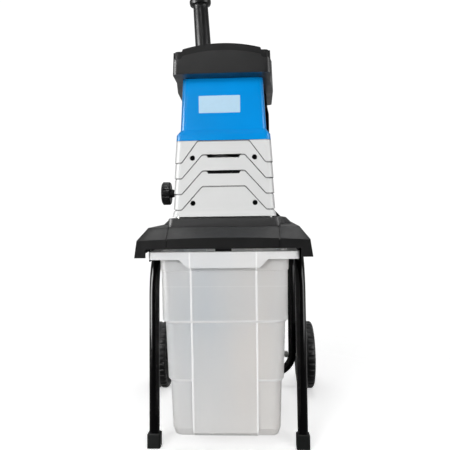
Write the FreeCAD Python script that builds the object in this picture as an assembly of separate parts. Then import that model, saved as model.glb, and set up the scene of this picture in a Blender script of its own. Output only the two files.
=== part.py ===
import FreeCAD, Part
import math
import os
from FreeCAD import Vector

# Garden shredder (wood chipper) with a roller cutter, a feed hopper on top and a catch box below.
# Millimetres. X to the right, Y to the rear, Z up. Origin on the ground, in the middle of the
# machine's length and width. Every function makes one sub-part, placed where it is used.

# ---- driving dimensions -------------------------------------------------------------------
TUBE_R = 12.0                  # frame tube, outside radius
TUBE_WALL = 1.5
FRAME_X = 176.3                # side tube centre at Y = 0
FRAME_SPLAY = 1.452            # degrees, the side tubes spread to the rear
LEG_FOOT_Y = -197.0            # front leg centre on the ground
LEG_LEAN = 6.15                # degrees, the front leg leans back
FRAME_TOP_Z = 455.0            # centre of the level stretch of the side tube
FRONT_BEND_R = 125.0
REAR_BEND_R = 80.0
JOINT_Z = 226.0                # where the side tube meets the rear axle tube
AXLE_BEND_R = 62.0
AXLE_CROSS_Z = 42.0            # centre of the low cross run of the axle tube
FRAME_SCREW_Y = (0.0, 120.0)

WHEEL_R = 100.0
WHEEL_Y = 224.0
WHEEL_IN = 195.5
WHEEL_OUT = 243.0
AXLE_R = 6.0
RUN_FIT = 0.05                 # radial clearance of anything that turns in a bore

TRAY_FRONT = -324.0
TRAY_REAR = 172.0
TRAY_HALF_FRONT = 183.5
TRAY_HALF_REAR = 203.0
TRAY_LOW_Z = 448.0
TRAY_EDGE_Z = 484.0
TRAY_TOP_Z = 509.5
TRAY_WALL = 3.0
TRAY_SIDE_STEP = 5.5           # side wall leans in by this much up to its shoulder
TRAY_SLOPE_WIDTH = 25.5        # and the top slopes in by this much in all
SKIRT_LOW_Z = 466.0
PLINTH_Z = 528.0
PLINTH_FRONT = -268.0
HUMP_FRONT = -62.0
HUMP_Z = 526.0

BOX_MID_Y = -75.0              # middle of the catch box
BOX_EXTRA = 82.0               # half length minus half width of the catch box
BOX_WALL = 2.6
RIM_Z = 458.5
RIM_LOW_Z = 443.0
RIM_HALF = 157.0
RIM_FRONT = -313.0
BOX_LEVELS = (                 # height, half width
    (458.5, 137.8),
    (418.5, 136.7),
    (416.5, 135.2),
    (311.0, 134.2),
    (305.0, 128.8),
    (183.0, 125.0),
    (177.0, 120.6),
    (74.0, 117.6),
    (58.0, 113.0),
)

COVER_REAR = -60.0             # the front covers end here and the rear housing begins
COVER_LOW_Z = 531.5
COVER_SPLIT_Z = 698.0
COVER_TOP_Z = 835.2
COVER_WALL = 3.0
HOUSING_REAR = 118.0

HOOD_LOW_Z = 835.5
HOOD_WALL = 3.0
HOOD_PLAN = (                  # Y, half width of the hopper hood
    (-274.0, 105.3),
    (-197.0, 105.8),
    (-94.0, 117.0),
    (84.0, 121.0),
)

DRUM_X = 8.0                   # cutting drum axis, along Y
DRUM_Z = 600.0
CHAMBER_LEFT = DRUM_X - 102.0   # outer face of the chamber's left wall
DRUM_R = 48.0
DRUM_FRONT = -60.0
DRUM_REAR = 26.0
SHAFT_R = 12.45
KNOB_Z = 591.0
KNOB_Y = -18.0
SPINDLE_R = 5.0

STAGE1_MODULE = 1.5
STAGE2_MODULE = 2.0
PINION_TEETH = 14
WHEEL_TEETH = 56
IDLER_ANGLE = 140.0            # direction from the drum axis to the idler axis, degrees
MOTOR_ANGLE = -45.0            # direction from the idler axis to the motor axis
PRESSURE_ANGLE = 20.0
SMALL_SHAFT_R = 7.45
CASE_PLANE = -62.0             # rear face of the wall between gears and cutting chamber

IDLER_REACH = STAGE2_MODULE * (PINION_TEETH + WHEEL_TEETH) / 2.0
MOTOR_REACH = STAGE1_MODULE * (PINION_TEETH + WHEEL_TEETH) / 2.0
IDLER_X = DRUM_X + IDLER_REACH * math.cos(math.radians(IDLER_ANGLE))
IDLER_Z = DRUM_Z + IDLER_REACH * math.sin(math.radians(IDLER_ANGLE))
MOTOR_X = IDLER_X + MOTOR_REACH * math.cos(math.radians(MOTOR_ANGLE))
MOTOR_Z = IDLER_Z + MOTOR_REACH * math.sin(math.radians(MOTOR_ANGLE))
REAR_TUBE_X = FRAME_X + WHEEL_Y * math.tan(math.radians(FRAME_SPLAY))


# ---- helpers ------------------------------------------------------------------------------
def block(x0, x1, y0, y1, z0, z1):
    return Part.makeBox(x1 - x0, y1 - y0, z1 - z0, Vector(x0, y0, z0))


def rod(start, end, radius):
    """Round bar from one point to another."""
    way = end.sub(start)
    return Part.makeCylinder(radius, way.Length, start, way)


def rod_x(x0, x1, y, z, radius):
    return rod(Vector(x0, y, z), Vector(x1, y, z), radius)


def rod_y(y0, y1, x, z, radius):
    return rod(Vector(x, y0, z), Vector(x, y1, z), radius)


def rod_z(z0, z1, x, y, radius):
    return rod(Vector(x, y, z0), Vector(x, y, z1), radius)


def fuse(shapes):
    """Join overlapping solids into one and drop the seams."""
    whole = shapes[0]
    if len(shapes) > 1:
        whole = whole.fuse(list(shapes[1:]))
    return whole.removeSplitter()


def cut(shape, tools):
    return shape.cut(list(tools)).removeSplitter()


def mirrored(shape):
    """The same piece on the other side of the machine."""
    return shape.mirror(Vector(0, 0, 0), Vector(1, 0, 0))


def both_sides(shape):
    return [shape, mirrored(shape)]


def round_wire(points, radius):
    """Closed outline through the points with every corner rounded."""
    edges = []
    arcs = []
    count = len(points)
    for index in range(count):
        corner = points[index]
        to_last = points[index - 1].sub(corner).normalize()
        to_next = points[(index + 1) % count].sub(corner).normalize()
        half = to_last.getAngle(to_next) / 2.0
        reach = radius / math.tan(half)
        inward = to_last.add(to_next).normalize()
        middle = corner.add(inward.multiply(radius / math.sin(half) - radius))
        first = corner.add(Vector(to_last).multiply(reach))
        last = corner.add(Vector(to_next).multiply(reach))
        arcs.append((first, middle, last))
    for index in range(count):
        first, middle, last = arcs[index]
        edges.append(Part.Arc(first, middle, last).toShape())
        following = arcs[(index + 1) % count][0]
        edges.append(Part.LineSegment(last, following).toShape())
    return Part.Wire(edges)


def flat_wire(points):
    return Part.makePolygon(list(points) + [points[0]])


def round_box_wire(x0, x1, y0, y1, z, radius):
    corners = [Vector(x0, y0, z), Vector(x1, y0, z), Vector(x1, y1, z), Vector(x0, y1, z)]
    return round_wire(corners, radius)


def loft(wires):
    return Part.makeLoft(wires, True, True)


def prism_xz(points, y0, y1):
    """Outline drawn from the front, pushed along Y."""
    wire = flat_wire([Vector(x, y0, z) for x, z in points])
    return Part.Face(wire).extrude(Vector(0, y1 - y0, 0))


def prism_yz(points, x0, x1):
    """Outline drawn from the side, pushed along X."""
    wire = flat_wire([Vector(x0, y, z) for y, z in points])
    return Part.Face(wire).extrude(Vector(x1 - x0, 0, 0))


def turned_about_x(profile, y, z):
    """Solid of revolution about an axis along X; the profile is (x, radius) points."""
    wire = flat_wire([Vector(x, y, z + radius) for x, radius in profile])
    return Part.Face(wire).revolve(Vector(0, y, z), Vector(1, 0, 0), 360)


def turned_about_y(profile, x, z):
    """Solid of revolution about an axis along Y; the profile is (y, radius) points."""
    wire = flat_wire([Vector(x, y, z + radius) for y, radius in profile])
    return Part.Face(wire).revolve(Vector(x, 0, z), Vector(0, 1, 0), 360)


def hexagon_x(x0, x1, y, z, across):
    """Hexagonal prism along X."""
    radius = across / math.sqrt(3.0)
    points = []
    for step in range(6):
        angle = math.radians(60.0 * step)
        points.append((y + radius * math.cos(angle), z + radius * math.sin(angle)))
    return prism_yz(points, x0, x1)


def pipe(path_edges, radius):
    """Round bar swept along a path of straight runs and tangent arcs."""
    path = Part.Wire(path_edges)
    first = path_edges[0]
    start = first.valueAt(first.FirstParameter)
    heading = first.tangentAt(first.FirstParameter)
    circle = Part.Wire([Part.Circle(start, heading, radius).toShape()])
    return path.makePipeShell([circle], True, False)


def arc_edge(centre_y, centre_z, radius, start_angle, end_angle):
    """Arc in the side view, angles in degrees from +Y towards +Z."""
    points = []
    for part in (0.0, 0.5, 1.0):
        angle = math.radians(start_angle + (end_angle - start_angle) * part)
        y = centre_y + radius * math.cos(angle)
        z = centre_z + radius * math.sin(angle)
        points.append(Vector(0, y, z))
    return Part.Arc(points[0], points[1], points[2]).toShape()


def involute_point(base_r, roll):
    """Point of the involute of a circle, with its distance and its angle."""
    distance = base_r * math.sqrt(1.0 + roll * roll)
    angle = roll - math.atan(roll)
    return distance, angle


def gear_blank(module, teeth, first_y, last_y, x, z, bore_r, turn):
    """Straight-toothed gear on an axis along Y, turned so that one tooth points at `turn` degrees."""
    pitch_r = module * teeth / 2.0
    pressure = math.radians(PRESSURE_ANGLE)
    base_r = pitch_r * math.cos(pressure)
    tip_r = pitch_r + 0.8 * module
    root_r = pitch_r - 1.15 * module
    backlash = 0.05 * module
    half_pitch = math.pi / (2.0 * teeth) - backlash / pitch_r
    half_base = half_pitch + math.tan(pressure) - pressure
    tip_roll = math.sqrt((tip_r / base_r) ** 2 - 1.0)
    start_roll = math.sqrt(max((root_r / base_r) ** 2 - 1.0, 0.0))

    def place(distance, angle):
        return Vector(x + distance * math.cos(angle), first_y, z + distance * math.sin(angle))

    edges = []
    pitch_angle = 2.0 * math.pi / teeth
    for tooth in range(teeth):
        centre = math.radians(turn) + tooth * pitch_angle
        rising = []
        falling = []
        for step in range(5):
            roll = start_roll + (tip_roll - start_roll) * step / 4.0
            distance, angle = involute_point(base_r, roll)
            rising.append(place(distance, centre - half_base + angle))
            falling.append(place(distance, centre + half_base - angle))
        falling.reverse()
        for flank in (rising, falling):
            curve = Part.BSplineCurve()
            curve.interpolate(flank)
            if flank is rising:
                root_in = place(root_r, centre - half_base)
                if root_r < base_r - 0.01:
                    edges.append(Part.LineSegment(root_in, rising[0]).toShape())
                edges.append(curve.toShape())
                tip_mid = place(tip_r, centre)
                edges.append(Part.Arc(rising[-1], tip_mid, falling[0]).toShape())
            else:
                edges.append(curve.toShape())
                root_out = falling[-1]
                if root_r < base_r - 0.01:
                    root_out = place(root_r, centre + half_base)
                    edges.append(Part.LineSegment(falling[-1], root_out).toShape())
                next_in = place(root_r, centre + pitch_angle - half_base)
                if root_r >= base_r - 0.01:
                    distance, angle = involute_point(base_r, start_roll)
                    next_in = place(distance, centre + pitch_angle - half_base + angle)
                gap_mid = place(root_r, centre + pitch_angle / 2.0)
                edges.append(Part.Arc(root_out, gap_mid, next_in).toShape())
    body = Part.Face(Part.Wire(edges)).extrude(Vector(0, last_y - first_y, 0))
    if bore_r > 0.0:
        body = body.cut(rod_y(first_y - 1, last_y + 1, x, z, bore_r))
    return body


def meshing_turn(driver_teeth, driver_turn, driven_teeth, direction):
    """Turn of the driven gear that puts a gap where the driver has a tooth."""
    driver_pitch = 360.0 / driver_teeth
    driven_pitch = 360.0 / driven_teeth
    offset = ((direction - driver_turn) % driver_pitch) / driver_pitch
    return direction + 180.0 + (offset + 0.5) * driven_pitch


def bearing(first_y, last_y, x, z, bore_r, outer_r):
    """Ball bearing as one closed ring with its two seal grooves."""
    middle_r = (bore_r + outer_r) / 2.0
    ring = turned_about_y(
        [(first_y, bore_r), (last_y, bore_r), (last_y, outer_r), (first_y, outer_r)], x, z)
    grooves = []
    for face, inner in ((first_y, first_y + 0.6), (last_y, last_y - 0.6)):
        low = middle_r - 2.0
        high = middle_r + 2.0
        grooves.append(turned_about_y([(face, low), (inner, low), (inner, high), (face, high)], x, z))
    return cut(ring, grooves)


# ---- frame and wheels ---------------------------------------------------------------------
def splayed(shape):
    """Move a shape drawn in the plane X = 0 to the right-hand side tube's plane."""
    shape.rotate(Vector(0, 0, 0), Vector(0, 0, 1), -FRAME_SPLAY)
    shape.translate(Vector(FRAME_X, 0, 0))
    return shape


def side_path():
    lean = math.radians(LEG_LEAN)
    along = 1.0 / math.cos(math.radians(FRAME_SPLAY))
    bend_z = FRAME_TOP_Z - FRONT_BEND_R * (1.0 - math.sin(lean))
    bend_y = LEG_FOOT_Y + bend_z * math.tan(lean)
    centre_y = bend_y + FRONT_BEND_R * math.cos(lean)
    centre_z = FRAME_TOP_Z - FRONT_BEND_R
    rear_y = WHEEL_Y * along
    foot = Vector(0, LEG_FOOT_Y + 5.0 * math.tan(lean), 5.0)
    rear_centre_z = FRAME_TOP_Z - REAR_BEND_R
    return [
        Part.LineSegment(foot, Vector(0, bend_y, bend_z)).toShape(),
        arc_edge(centre_y, centre_z, FRONT_BEND_R, 180.0 - LEG_LEAN, 90.0),
        Part.LineSegment(Vector(0, centre_y, FRAME_TOP_Z),
                         Vector(0, rear_y - REAR_BEND_R, FRAME_TOP_Z)).toShape(),
        arc_edge(rear_y - REAR_BEND_R, rear_centre_z, REAR_BEND_R, 90.0, 0.0),
        Part.LineSegment(Vector(0, rear_y, rear_centre_z), Vector(0, rear_y, JOINT_Z)).toShape(),
    ]


def side_tube():
    """Front leg, level run and upper rear leg in one bent tube, right-hand side."""
    tube = pipe(side_path(), TUBE_R).cut(pipe(side_path(), TUBE_R - TUBE_WALL))
    tube = splayed(tube)
    holes = []
    for y in FRAME_SCREW_Y:
        holes.append(rod_z(FRAME_TOP_Z - 20, FRAME_TOP_Z + 20, tube_x(y), y, 3.2))
    return tube.cut(holes)


def tube_x(y):
    return FRAME_X + y * math.tan(math.radians(FRAME_SPLAY))


def axle_path(lowest_z):
    """U-shaped path of the rear axle tube."""
    x = REAR_TUBE_X
    y = WHEEL_Y
    bend = AXLE_BEND_R
    corner = bend * math.sqrt(0.5)
    turn_z = lowest_z + bend
    top = JOINT_Z + 36.0
    return [
        Part.LineSegment(Vector(-x, y, top), Vector(-x, y, turn_z)).toShape(),
        Part.Arc(Vector(-x, y, turn_z), Vector(-x + bend - corner, y, turn_z - corner),
                 Vector(-x + bend, y, lowest_z)).toShape(),
        Part.LineSegment(Vector(-x + bend, y, lowest_z), Vector(x - bend, y, lowest_z)).toShape(),
        Part.Arc(Vector(x - bend, y, lowest_z), Vector(x - bend + corner, y, turn_z - corner),
                 Vector(x, y, turn_z)).toShape(),
        Part.LineSegment(Vector(x, y, turn_z), Vector(x, y, top)).toShape(),
    ]


def rear_axle_tube():
    """Lower rear U tube whose necked ends plug into the side tubes."""
    outer = pipe(axle_path(AXLE_CROSS_Z), TUBE_R)
    neck_r = TUBE_R - TUBE_WALL - 0.1
    necks = []
    for side in (-1, 1):
        ring = rod_z(JOINT_Z, JOINT_Z + 40, side * REAR_TUBE_X, WHEEL_Y, TUBE_R + 3)
        necks.append(ring.cut(rod_z(JOINT_Z - 1, JOINT_Z + 41, side * REAR_TUBE_X, WHEEL_Y, neck_r)))
    bore = pipe(axle_path(AXLE_CROSS_Z), TUBE_R - 2 * TUBE_WALL)
    axle_hole = rod_x(-REAR_TUBE_X - 20, REAR_TUBE_X + 20, WHEEL_Y, WHEEL_R, AXLE_R + RUN_FIT)
    return cut(outer, necks + [bore, axle_hole])


def foot_cap():
    """Rubber foot pushed over the end of the right front leg."""
    half = 15.5
    lean = math.radians(LEG_LEAN)
    outline = round_box_wire(-half, half, -half, half, -12.0, 4.0)
    body = Part.Face(outline).extrude(Vector(0, 0, 43.0))
    crown = body.Faces[-1]
    for face in body.Faces:
        if face.CenterOfMass.z > crown.CenterOfMass.z:
            crown = face
    body = body.makeFillet(2.5, crown.Edges)
    body = body.cut(rod_z(5.0 / math.cos(lean), 60.0, 0, 0, TUBE_R + 0.02))
    body.rotate(Vector(0, 0, 0), Vector(1, 0, 0), -LEG_LEAN)
    body.translate(Vector(0, LEG_FOOT_Y, 0))
    body = splayed(body)
    return body.cut(block(100, 250, -300, -100, -30, 0))


def wheel():
    """Right-hand moulded wheel: domed tread ring, dished web and long hub."""
    shoulder = 6.0
    rim_in = WHEEL_IN
    rim_out = WHEEL_OUT
    web_in = WHEEL_IN + 20.0
    bore_r = AXLE_R + RUN_FIT
    profile = [
        (rim_in, bore_r), (rim_in + 39.0, bore_r), (rim_in + 39.0, 17.5), (rim_in + 31.0, 18.0),
        (rim_in + 31.0, 30.0),
        (rim_in + 33.0, 80.0), (rim_out - 1.5, 87.0), (rim_out, 89.0), (rim_out - 1.5, 95.0),
        (rim_out - shoulder, WHEEL_R), (rim_in + shoulder, WHEEL_R), (rim_in + 1.5, 95.0),
        (rim_in, 89.0), (rim_in + 1.5, 87.0), (web_in + 5.0, 82.0), (web_in + 6.0, 24.0),
        (rim_in, 17.0),
    ]
    return turned_about_x(profile, WHEEL_Y, WHEEL_R)


def hub_cap():
    """Domed cap that snaps over the right wheel's hub and hides the bolt head."""
    first = WHEEL_IN + 31.2
    outer = [(first, 0.0), (first, 29.0), (first + 6.0, 27.0), (first + 14.0, 20.0), (first + 17.5, 9.0),
             (first + 18.3, 0.0)]
    cap = turned_about_x(outer, WHEEL_Y, WHEEL_R)
    hollow = [(first - 1, 0.0), (first - 1, 18.2), (first + 8.5, 18.2), (first + 15.0, 12.0),
              (first + 15.5, 0.0)]
    return cut(cap, [turned_about_x(hollow, WHEEL_Y, WHEEL_R)])


def axle_bolt():
    """Right-hand axle bolt; its head sits outside the wheel hub."""
    head = hexagon_x(WHEEL_IN + 39.4, WHEEL_IN + 45.0, WHEEL_Y, WHEEL_R, 18.0)
    shank = rod_x(REAR_TUBE_X - 26.0, WHEEL_IN + 39.4, WHEEL_Y, WHEEL_R, AXLE_R)
    return fuse([head, shank])


def axle_nut():
    nut = hexagon_x(REAR_TUBE_X - 23.0, REAR_TUBE_X - TUBE_R - 2.2, WHEEL_Y, WHEEL_R, 18.0)
    return nut.cut(rod_x(REAR_TUBE_X - 30, REAR_TUBE_X, WHEEL_Y, WHEEL_R, AXLE_R))


def hub_spacer():
    first = REAR_TUBE_X + TUBE_R + 0.05
    last = WHEEL_IN - 0.3
    ring = rod_x(first, last, WHEEL_Y, WHEEL_R, 10.0)
    return ring.cut(rod_x(first - 1, last + 1, WHEEL_Y, WHEEL_R, AXLE_R))


def frame_screws():
    """Four screws that pass up through the side tubes into the tray's bosses."""
    screws = []
    for y in FRAME_SCREW_Y:
        low = FRAME_TOP_Z - TUBE_R
        head = rod_z(low - 4.5, low - 0.2, tube_x(y), y, 5.5)
        shank = rod_z(low - 0.3, FRAME_TOP_Z + TUBE_R + 16.0, tube_x(y), y, 3.0)
        screws += both_sides(fuse([head, shank]))
    return Part.makeCompound(screws)


# ---- base tray ----------------------------------------------------------------------------
def tray_half(y):
    """Half width of the tray's lower edge at this Y."""
    part = (y - TRAY_FRONT) / (TRAY_REAR - TRAY_FRONT)
    return TRAY_HALF_FRONT + (TRAY_HALF_REAR - TRAY_HALF_FRONT) * part


def tray_section(y, inset, low_z):
    half = tray_half(y)
    bottom = half - inset
    shoulder = half - TRAY_SIDE_STEP - inset
    crown = half - TRAY_SLOPE_WIDTH - inset * 0.4
    edge_z = TRAY_EDGE_Z - inset * 0.55
    top_z = TRAY_TOP_Z - inset
    right = [(bottom, low_z), (shoulder, edge_z), (crown, top_z)]
    left = [(-x, z) for x, z in reversed(right)]
    return flat_wire([Vector(x, y, z) for x, z in right + left])


def tray_nose_cutter(inset):
    """Space above the front slope; the lower edge of the slope is gently arched."""
    top = TRAY_TOP_Z - inset
    back_y = -290.0 + inset * 0.5
    front_y = TRAY_FRONT - 12.0 + inset
    reach = 240.0
    drop = (back_y - front_y) * 0.69
    mid_z = top - drop + 4.0
    side_z = mid_z - 15.0
    ceiling = TRAY_TOP_Z + 30.0
    back = flat_wire([Vector(-reach, back_y, top), Vector(reach, back_y, top),
                      Vector(reach, back_y, ceiling), Vector(-reach, back_y, ceiling)])
    arch = Part.Arc(Vector(-reach, front_y, side_z), Vector(0, front_y, mid_z),
                    Vector(reach, front_y, side_z))
    front_edges = [
        arch.toShape(),
        Part.LineSegment(Vector(reach, front_y, side_z), Vector(reach, front_y, ceiling)).toShape(),
        Part.LineSegment(Vector(reach, front_y, ceiling), Vector(-reach, front_y, ceiling)).toShape(),
        Part.LineSegment(Vector(-reach, front_y, ceiling), Vector(-reach, front_y, side_z)).toShape(),
    ]
    return loft([back, Part.Wire(front_edges)])


def plinth_solid(inset):
    """Outline of the plinth under the motor cover with the wider hump behind it."""
    wide = 122.7 - inset
    narrow = 120.4 - inset
    low = TRAY_TOP_Z - 4.0
    top = PLINTH_Z - inset
    front = PLINTH_FRONT + inset
    rear = TRAY_REAR - inset
    foot = round_box_wire(-wide, wide, front - 1.5, rear, low, 12.0)
    crown = round_box_wire(-narrow, narrow, front, rear, top, 12.0)
    hump_top = HUMP_Z - inset
    hump_front = HUMP_FRONT + inset
    hump_foot = round_box_wire(-168.0 + inset, 168.0 - inset, hump_front - 14.0, rear, low, 18.0)
    hump_crown = round_box_wire(-148.0 + inset, 148.0 - inset, hump_front, rear - 1.0, hump_top, 18.0)
    return fuse([loft([foot, crown]), loft([hump_foot, hump_crown])])


def motor_plinth():
    """Moulded plinth that stands on the tray and carries the machine."""
    under = block(-200.0, 200.0, -330.0, 200.0, TRAY_TOP_Z - 20.0, TRAY_TOP_Z + 0.1)
    shell = plinth_solid(0.0).cut([plinth_solid(TRAY_WALL), under])
    return cut(shell, [chute_hole(TRAY_TOP_Z - 5.0, PLINTH_Z + 5.0, 3.0)])


def chute_hole(z0, z1, spare):
    return block(DRUM_X - 64.0 - spare, DRUM_X + 50.0 + spare, DRUM_FRONT - 2.0 - spare,
                 DRUM_REAR + 2.0 + spare, z0, z1)


def base_tray():
    """Moulded tray that covers the catch box and carries the plinth."""
    outer = loft([tray_section(TRAY_FRONT, 0.0, TRAY_LOW_Z), tray_section(TRAY_REAR, 0.0, TRAY_LOW_Z)])
    outer = outer.cut(tray_nose_cutter(0.0))
    hollow = loft([tray_section(TRAY_FRONT + TRAY_WALL, TRAY_WALL, TRAY_LOW_Z - 5.0),
                   tray_section(TRAY_REAR - TRAY_WALL, TRAY_WALL, TRAY_LOW_Z - 5.0)])
    hollow = hollow.cut(tray_nose_cutter(TRAY_WALL))
    tray = outer.cut(hollow)
    gate_front = block(-160.0, 160.0, TRAY_FRONT - 5, TRAY_FRONT + 20, TRAY_LOW_Z - 5, SKIRT_LOW_Z)
    gate_rear = block(-206.0, 206.0, TRAY_REAR - 20, TRAY_REAR + 5, TRAY_LOW_Z - 5, SKIRT_LOW_Z + 4)
    tray = tray.cut([gate_front, gate_rear, chute_hole(TRAY_TOP_Z - 10, TRAY_TOP_Z + 5, 3.0)])
    extras = []
    for y in FRAME_SCREW_Y:
        boss = rod_z(FRAME_TOP_Z + TUBE_R + 0.2, 500.0, tube_x(y), y, 8.0)
        boss = boss.common(outer).cut(rod_z(440, FRAME_TOP_Z + TUBE_R + 17.0, tube_x(y), y, 3.0))
        extras += both_sides(boss)
    guide = block(-24.0, 24.0, -311.0, -296.0, SKIRT_LOW_Z + 3, 500.0).common(outer)
    guide = guide.cut(block(-17.4, 17.4, -306.3, -300.7, SKIRT_LOW_Z - 5, 505.0))
    tray = tray.fuse(extras + [guide])
    grooves = []
    for side in (-1, 1):
        slot = prism_yz([(-330, 440), (-322.2, 440), (-322.2, 484), (-289, 507.3), (-270, 507.3),
                         (-270, 530), (-330, 530)], side * 116.0 - 1.2, side * 116.0 + 1.2)
        grooves.append(slot)
    return tray.cut(grooves).removeSplitter()


def box_rail():
    """Angle rail under the right edge of the tray that the box's rim slides on."""
    outline = [(-284, 437), (160, 437), (160, 506.3), (-236, 506.3), (-250, 496), (-284, 496)]
    web = prism_yz(outline, 158.0, 160.0)
    flange = block(139.6, 158.5, -284, 160, 437, 442.4)
    flange = flange.cut(block(139.0, 157.9, -285, 161, 436, 439.6))
    return fuse([web, flange])


def mounting_plate():
    """Steel plate on the plinth that the gear case and cutting chamber stand on."""
    plate = Part.Face(round_box_wire(-106, 106, -238, 108, PLINTH_Z, 8)).extrude(Vector(0, 0, 3))
    return plate.cut(chute_hole(PLINTH_Z - 1, PLINTH_Z + 4, 2.7))


def discharge_chute():
    """Square spout that drops the chips into the box."""
    wall = chute_hole(468.0, PLINTH_Z + 3.0, 2.5)
    return wall.cut(chute_hole(460.0, PLINTH_Z + 4.0, 0.0))


# ---- catch box ----------------------------------------------------------------------------
def box_wire(z, half, inset, radius):
    return round_box_wire(-half + inset, half - inset, BOX_MID_Y - half - BOX_EXTRA + inset,
                          BOX_MID_Y + half + BOX_EXTRA - inset, z, radius)


def box_body(inset, bottom_lift):
    wires = []
    for z, half in BOX_LEVELS:
        level = z
        if z == BOX_LEVELS[-1][0]:
            level = z + bottom_lift
        wires.append(box_wire(level, half, inset, 20.0 - inset))
    return loft(wires)


def rim_plan(z, inset, radius):
    rear = BOX_MID_Y + RIM_HALF + BOX_EXTRA - 4.0
    half = RIM_HALF - inset
    return round_box_wire(-half, half, RIM_FRONT + inset, rear - inset, z, radius)


PANEL_X = (-70.5, 68.0)        # side edges of the flush centre panel in the end walls
PANEL_SLOPE = (128.8 - 125.0) / (305.0 - 183.0)


def end_panel(inset):
    """Front centre panel that runs straight down past the lower step."""
    top_z = 303.0
    low_z = BOX_LEVELS[-1][0] + 8.0
    top_y = BOX_MID_Y - BOX_LEVELS[4][1] - BOX_EXTRA + inset
    low_y = top_y + (top_z - low_z) * PANEL_SLOPE
    foot_y = low_y + 6.0
    back_y = low_y + 24.0
    foot_z = low_z - 7.9 + inset
    outline = [(top_y, top_z), (low_y, low_z), (foot_y, foot_z), (back_y, foot_z), (back_y, top_z)]
    return prism_yz(outline, PANEL_X[0] + inset, PANEL_X[1] - inset)


def panel_ribs():
    """Raised beads down both edges of the front centre panel."""
    ribs = []
    for x in PANEL_X:
        line = []
        for z, half in BOX_LEVELS[2:6]:
            line.append((BOX_MID_Y - half - BOX_EXTRA - 1.2, z))
        line.append((line[-1][0] + (183.0 - 70.0) * PANEL_SLOPE, 70.0))
        back = [(y + 2.6, z) for y, z in reversed(line)]
        ribs.append(prism_yz(line + back, x - 1.8, x + 1.8))
    return ribs


def behind(shape):
    """The same piece on the box's rear end."""
    return shape.mirror(Vector(0, BOX_MID_Y, 0), Vector(0, 1, 0))


def collection_box():
    """Translucent catch box: stepped walls, turned-down rim and a pull lip in front."""
    skirt = Part.Face(rim_plan(RIM_LOW_Z, 0.0, 12.0)).extrude(Vector(0, 0, RIM_Z - RIM_LOW_Z))
    depth = RIM_Z - RIM_LOW_Z - 2.0
    inside = Part.Face(rim_plan(RIM_LOW_Z - 1, BOX_WALL, 10.0)).extrude(Vector(0, 0, depth))
    skirt = skirt.cut(inside)
    lip = prism_xz([(-92, RIM_LOW_Z + 2), (-92, RIM_LOW_Z), (-74.5, 425.3), (74.5, 425.3),
                    (92, RIM_LOW_Z), (92, RIM_LOW_Z + 2)], RIM_FRONT, RIM_FRONT + BOX_WALL)
    outer = box_body(0.0, 0.0)
    panel = end_panel(0.0)
    ribs = panel_ribs()
    shell = outer.fuse([skirt, lip, panel, behind(panel)] + ribs + [behind(rib) for rib in ribs])
    hollow = box_body(BOX_WALL, BOX_WALL)
    panel_hollow = end_panel(BOX_WALL)
    hollow = hollow.fuse([panel_hollow, behind(panel_hollow)])
    top = Part.Face(box_wire(RIM_Z - 0.5, BOX_LEVELS[0][1], BOX_WALL, 17.4)).extrude(Vector(0, 0, 5))
    keeper = block(-18.6, 18.6, -307.6, -299.4, RIM_Z - 8, RIM_Z + 1)
    return shell.cut([hollow, top, keeper]).removeSplitter()


def box_latch():
    """Sliding tab that drops into the slot of the box's rim."""
    tab = block(-17.0, 17.0, -306.0, -301.0, RIM_Z + 0.9, 492.0)
    return tab.makeFillet(1.0, [edge for edge in tab.Edges if abs(edge.tangentAt(0).z) > 0.9])


def interlock_switch():
    """Micro switch beside the latch that stops the motor while the box is out."""
    case = block(26.0, 52.0, -312.0, -300.0, 471.0, 486.0)
    plunger = rod_x(24.6, 26.5, -306.0, 478.0, 2.0)
    return fuse([case, plunger])


# ---- covers -------------------------------------------------------------------------------
LIP = 1.2                      # each band of the motor cover stands this proud of the next
FOLD_R = 7.0                   # corners of the folded lines
FOLD_GROOVE = (3.0, 2.0)       # height and depth of the shadow groove under each fold
BAND_SLOPE = 0.0735
CHEVRONS = (                   # inner and outer half width, inner and outer height of each fold
    (56.5, 91.8, COVER_SPLIT_Z + 0.5, 650.2),
    (47.0, 92.0, 667.5, 615.8),
    (47.0, 92.0, 632.4, 581.9),
    (47.3, 93.0, 598.5, 547.3),
)


def cover_block(levels, inset, radius):
    """Tapered block from (height, half width, front Y) levels, cut off square at the rear."""
    wires = []
    for z, half, front in levels:
        wires.append(round_box_wire(-half + inset, half - inset, front + inset, COVER_REAR + 40.0, z,
                                    radius - inset * 0.5))
    high_z = levels[0][0] + 5
    low_z = levels[-1][0] - 5
    return loft(wires).cut(block(-150, 150, COVER_REAR, COVER_REAR + 60, low_z, high_z))


def motor_levels(band):
    top_half = 104.5 - LIP * band
    top_front = -242.0 + LIP * band
    bend_z = 547.0
    fall = (COVER_SPLIT_Z - bend_z) * BAND_SLOPE
    return [
        (COVER_SPLIT_Z, top_half, top_front),
        (bend_z, top_half + fall, top_front - fall),
        (COVER_LOW_Z, top_half + fall + 3.9, top_front - fall - 3.0),
    ]


def below_fold(fold, drop):
    """Everything more than `drop` under one folded line of the motor cover, as seen from the front."""
    inner, outer, high, low = fold
    side = 140.0
    base = COVER_LOW_Z - 30.0
    points = [(-side, base), (side, base), (side, low), (outer, low), (inner, high),
              (-inner, high), (-outer, low), (-side, low)]
    wire = round_wire([Vector(x, -300.0, z - drop) for x, z in points], FOLD_R)
    return Part.Face(wire).extrude(Vector(0, 300.0, 0))


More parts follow.
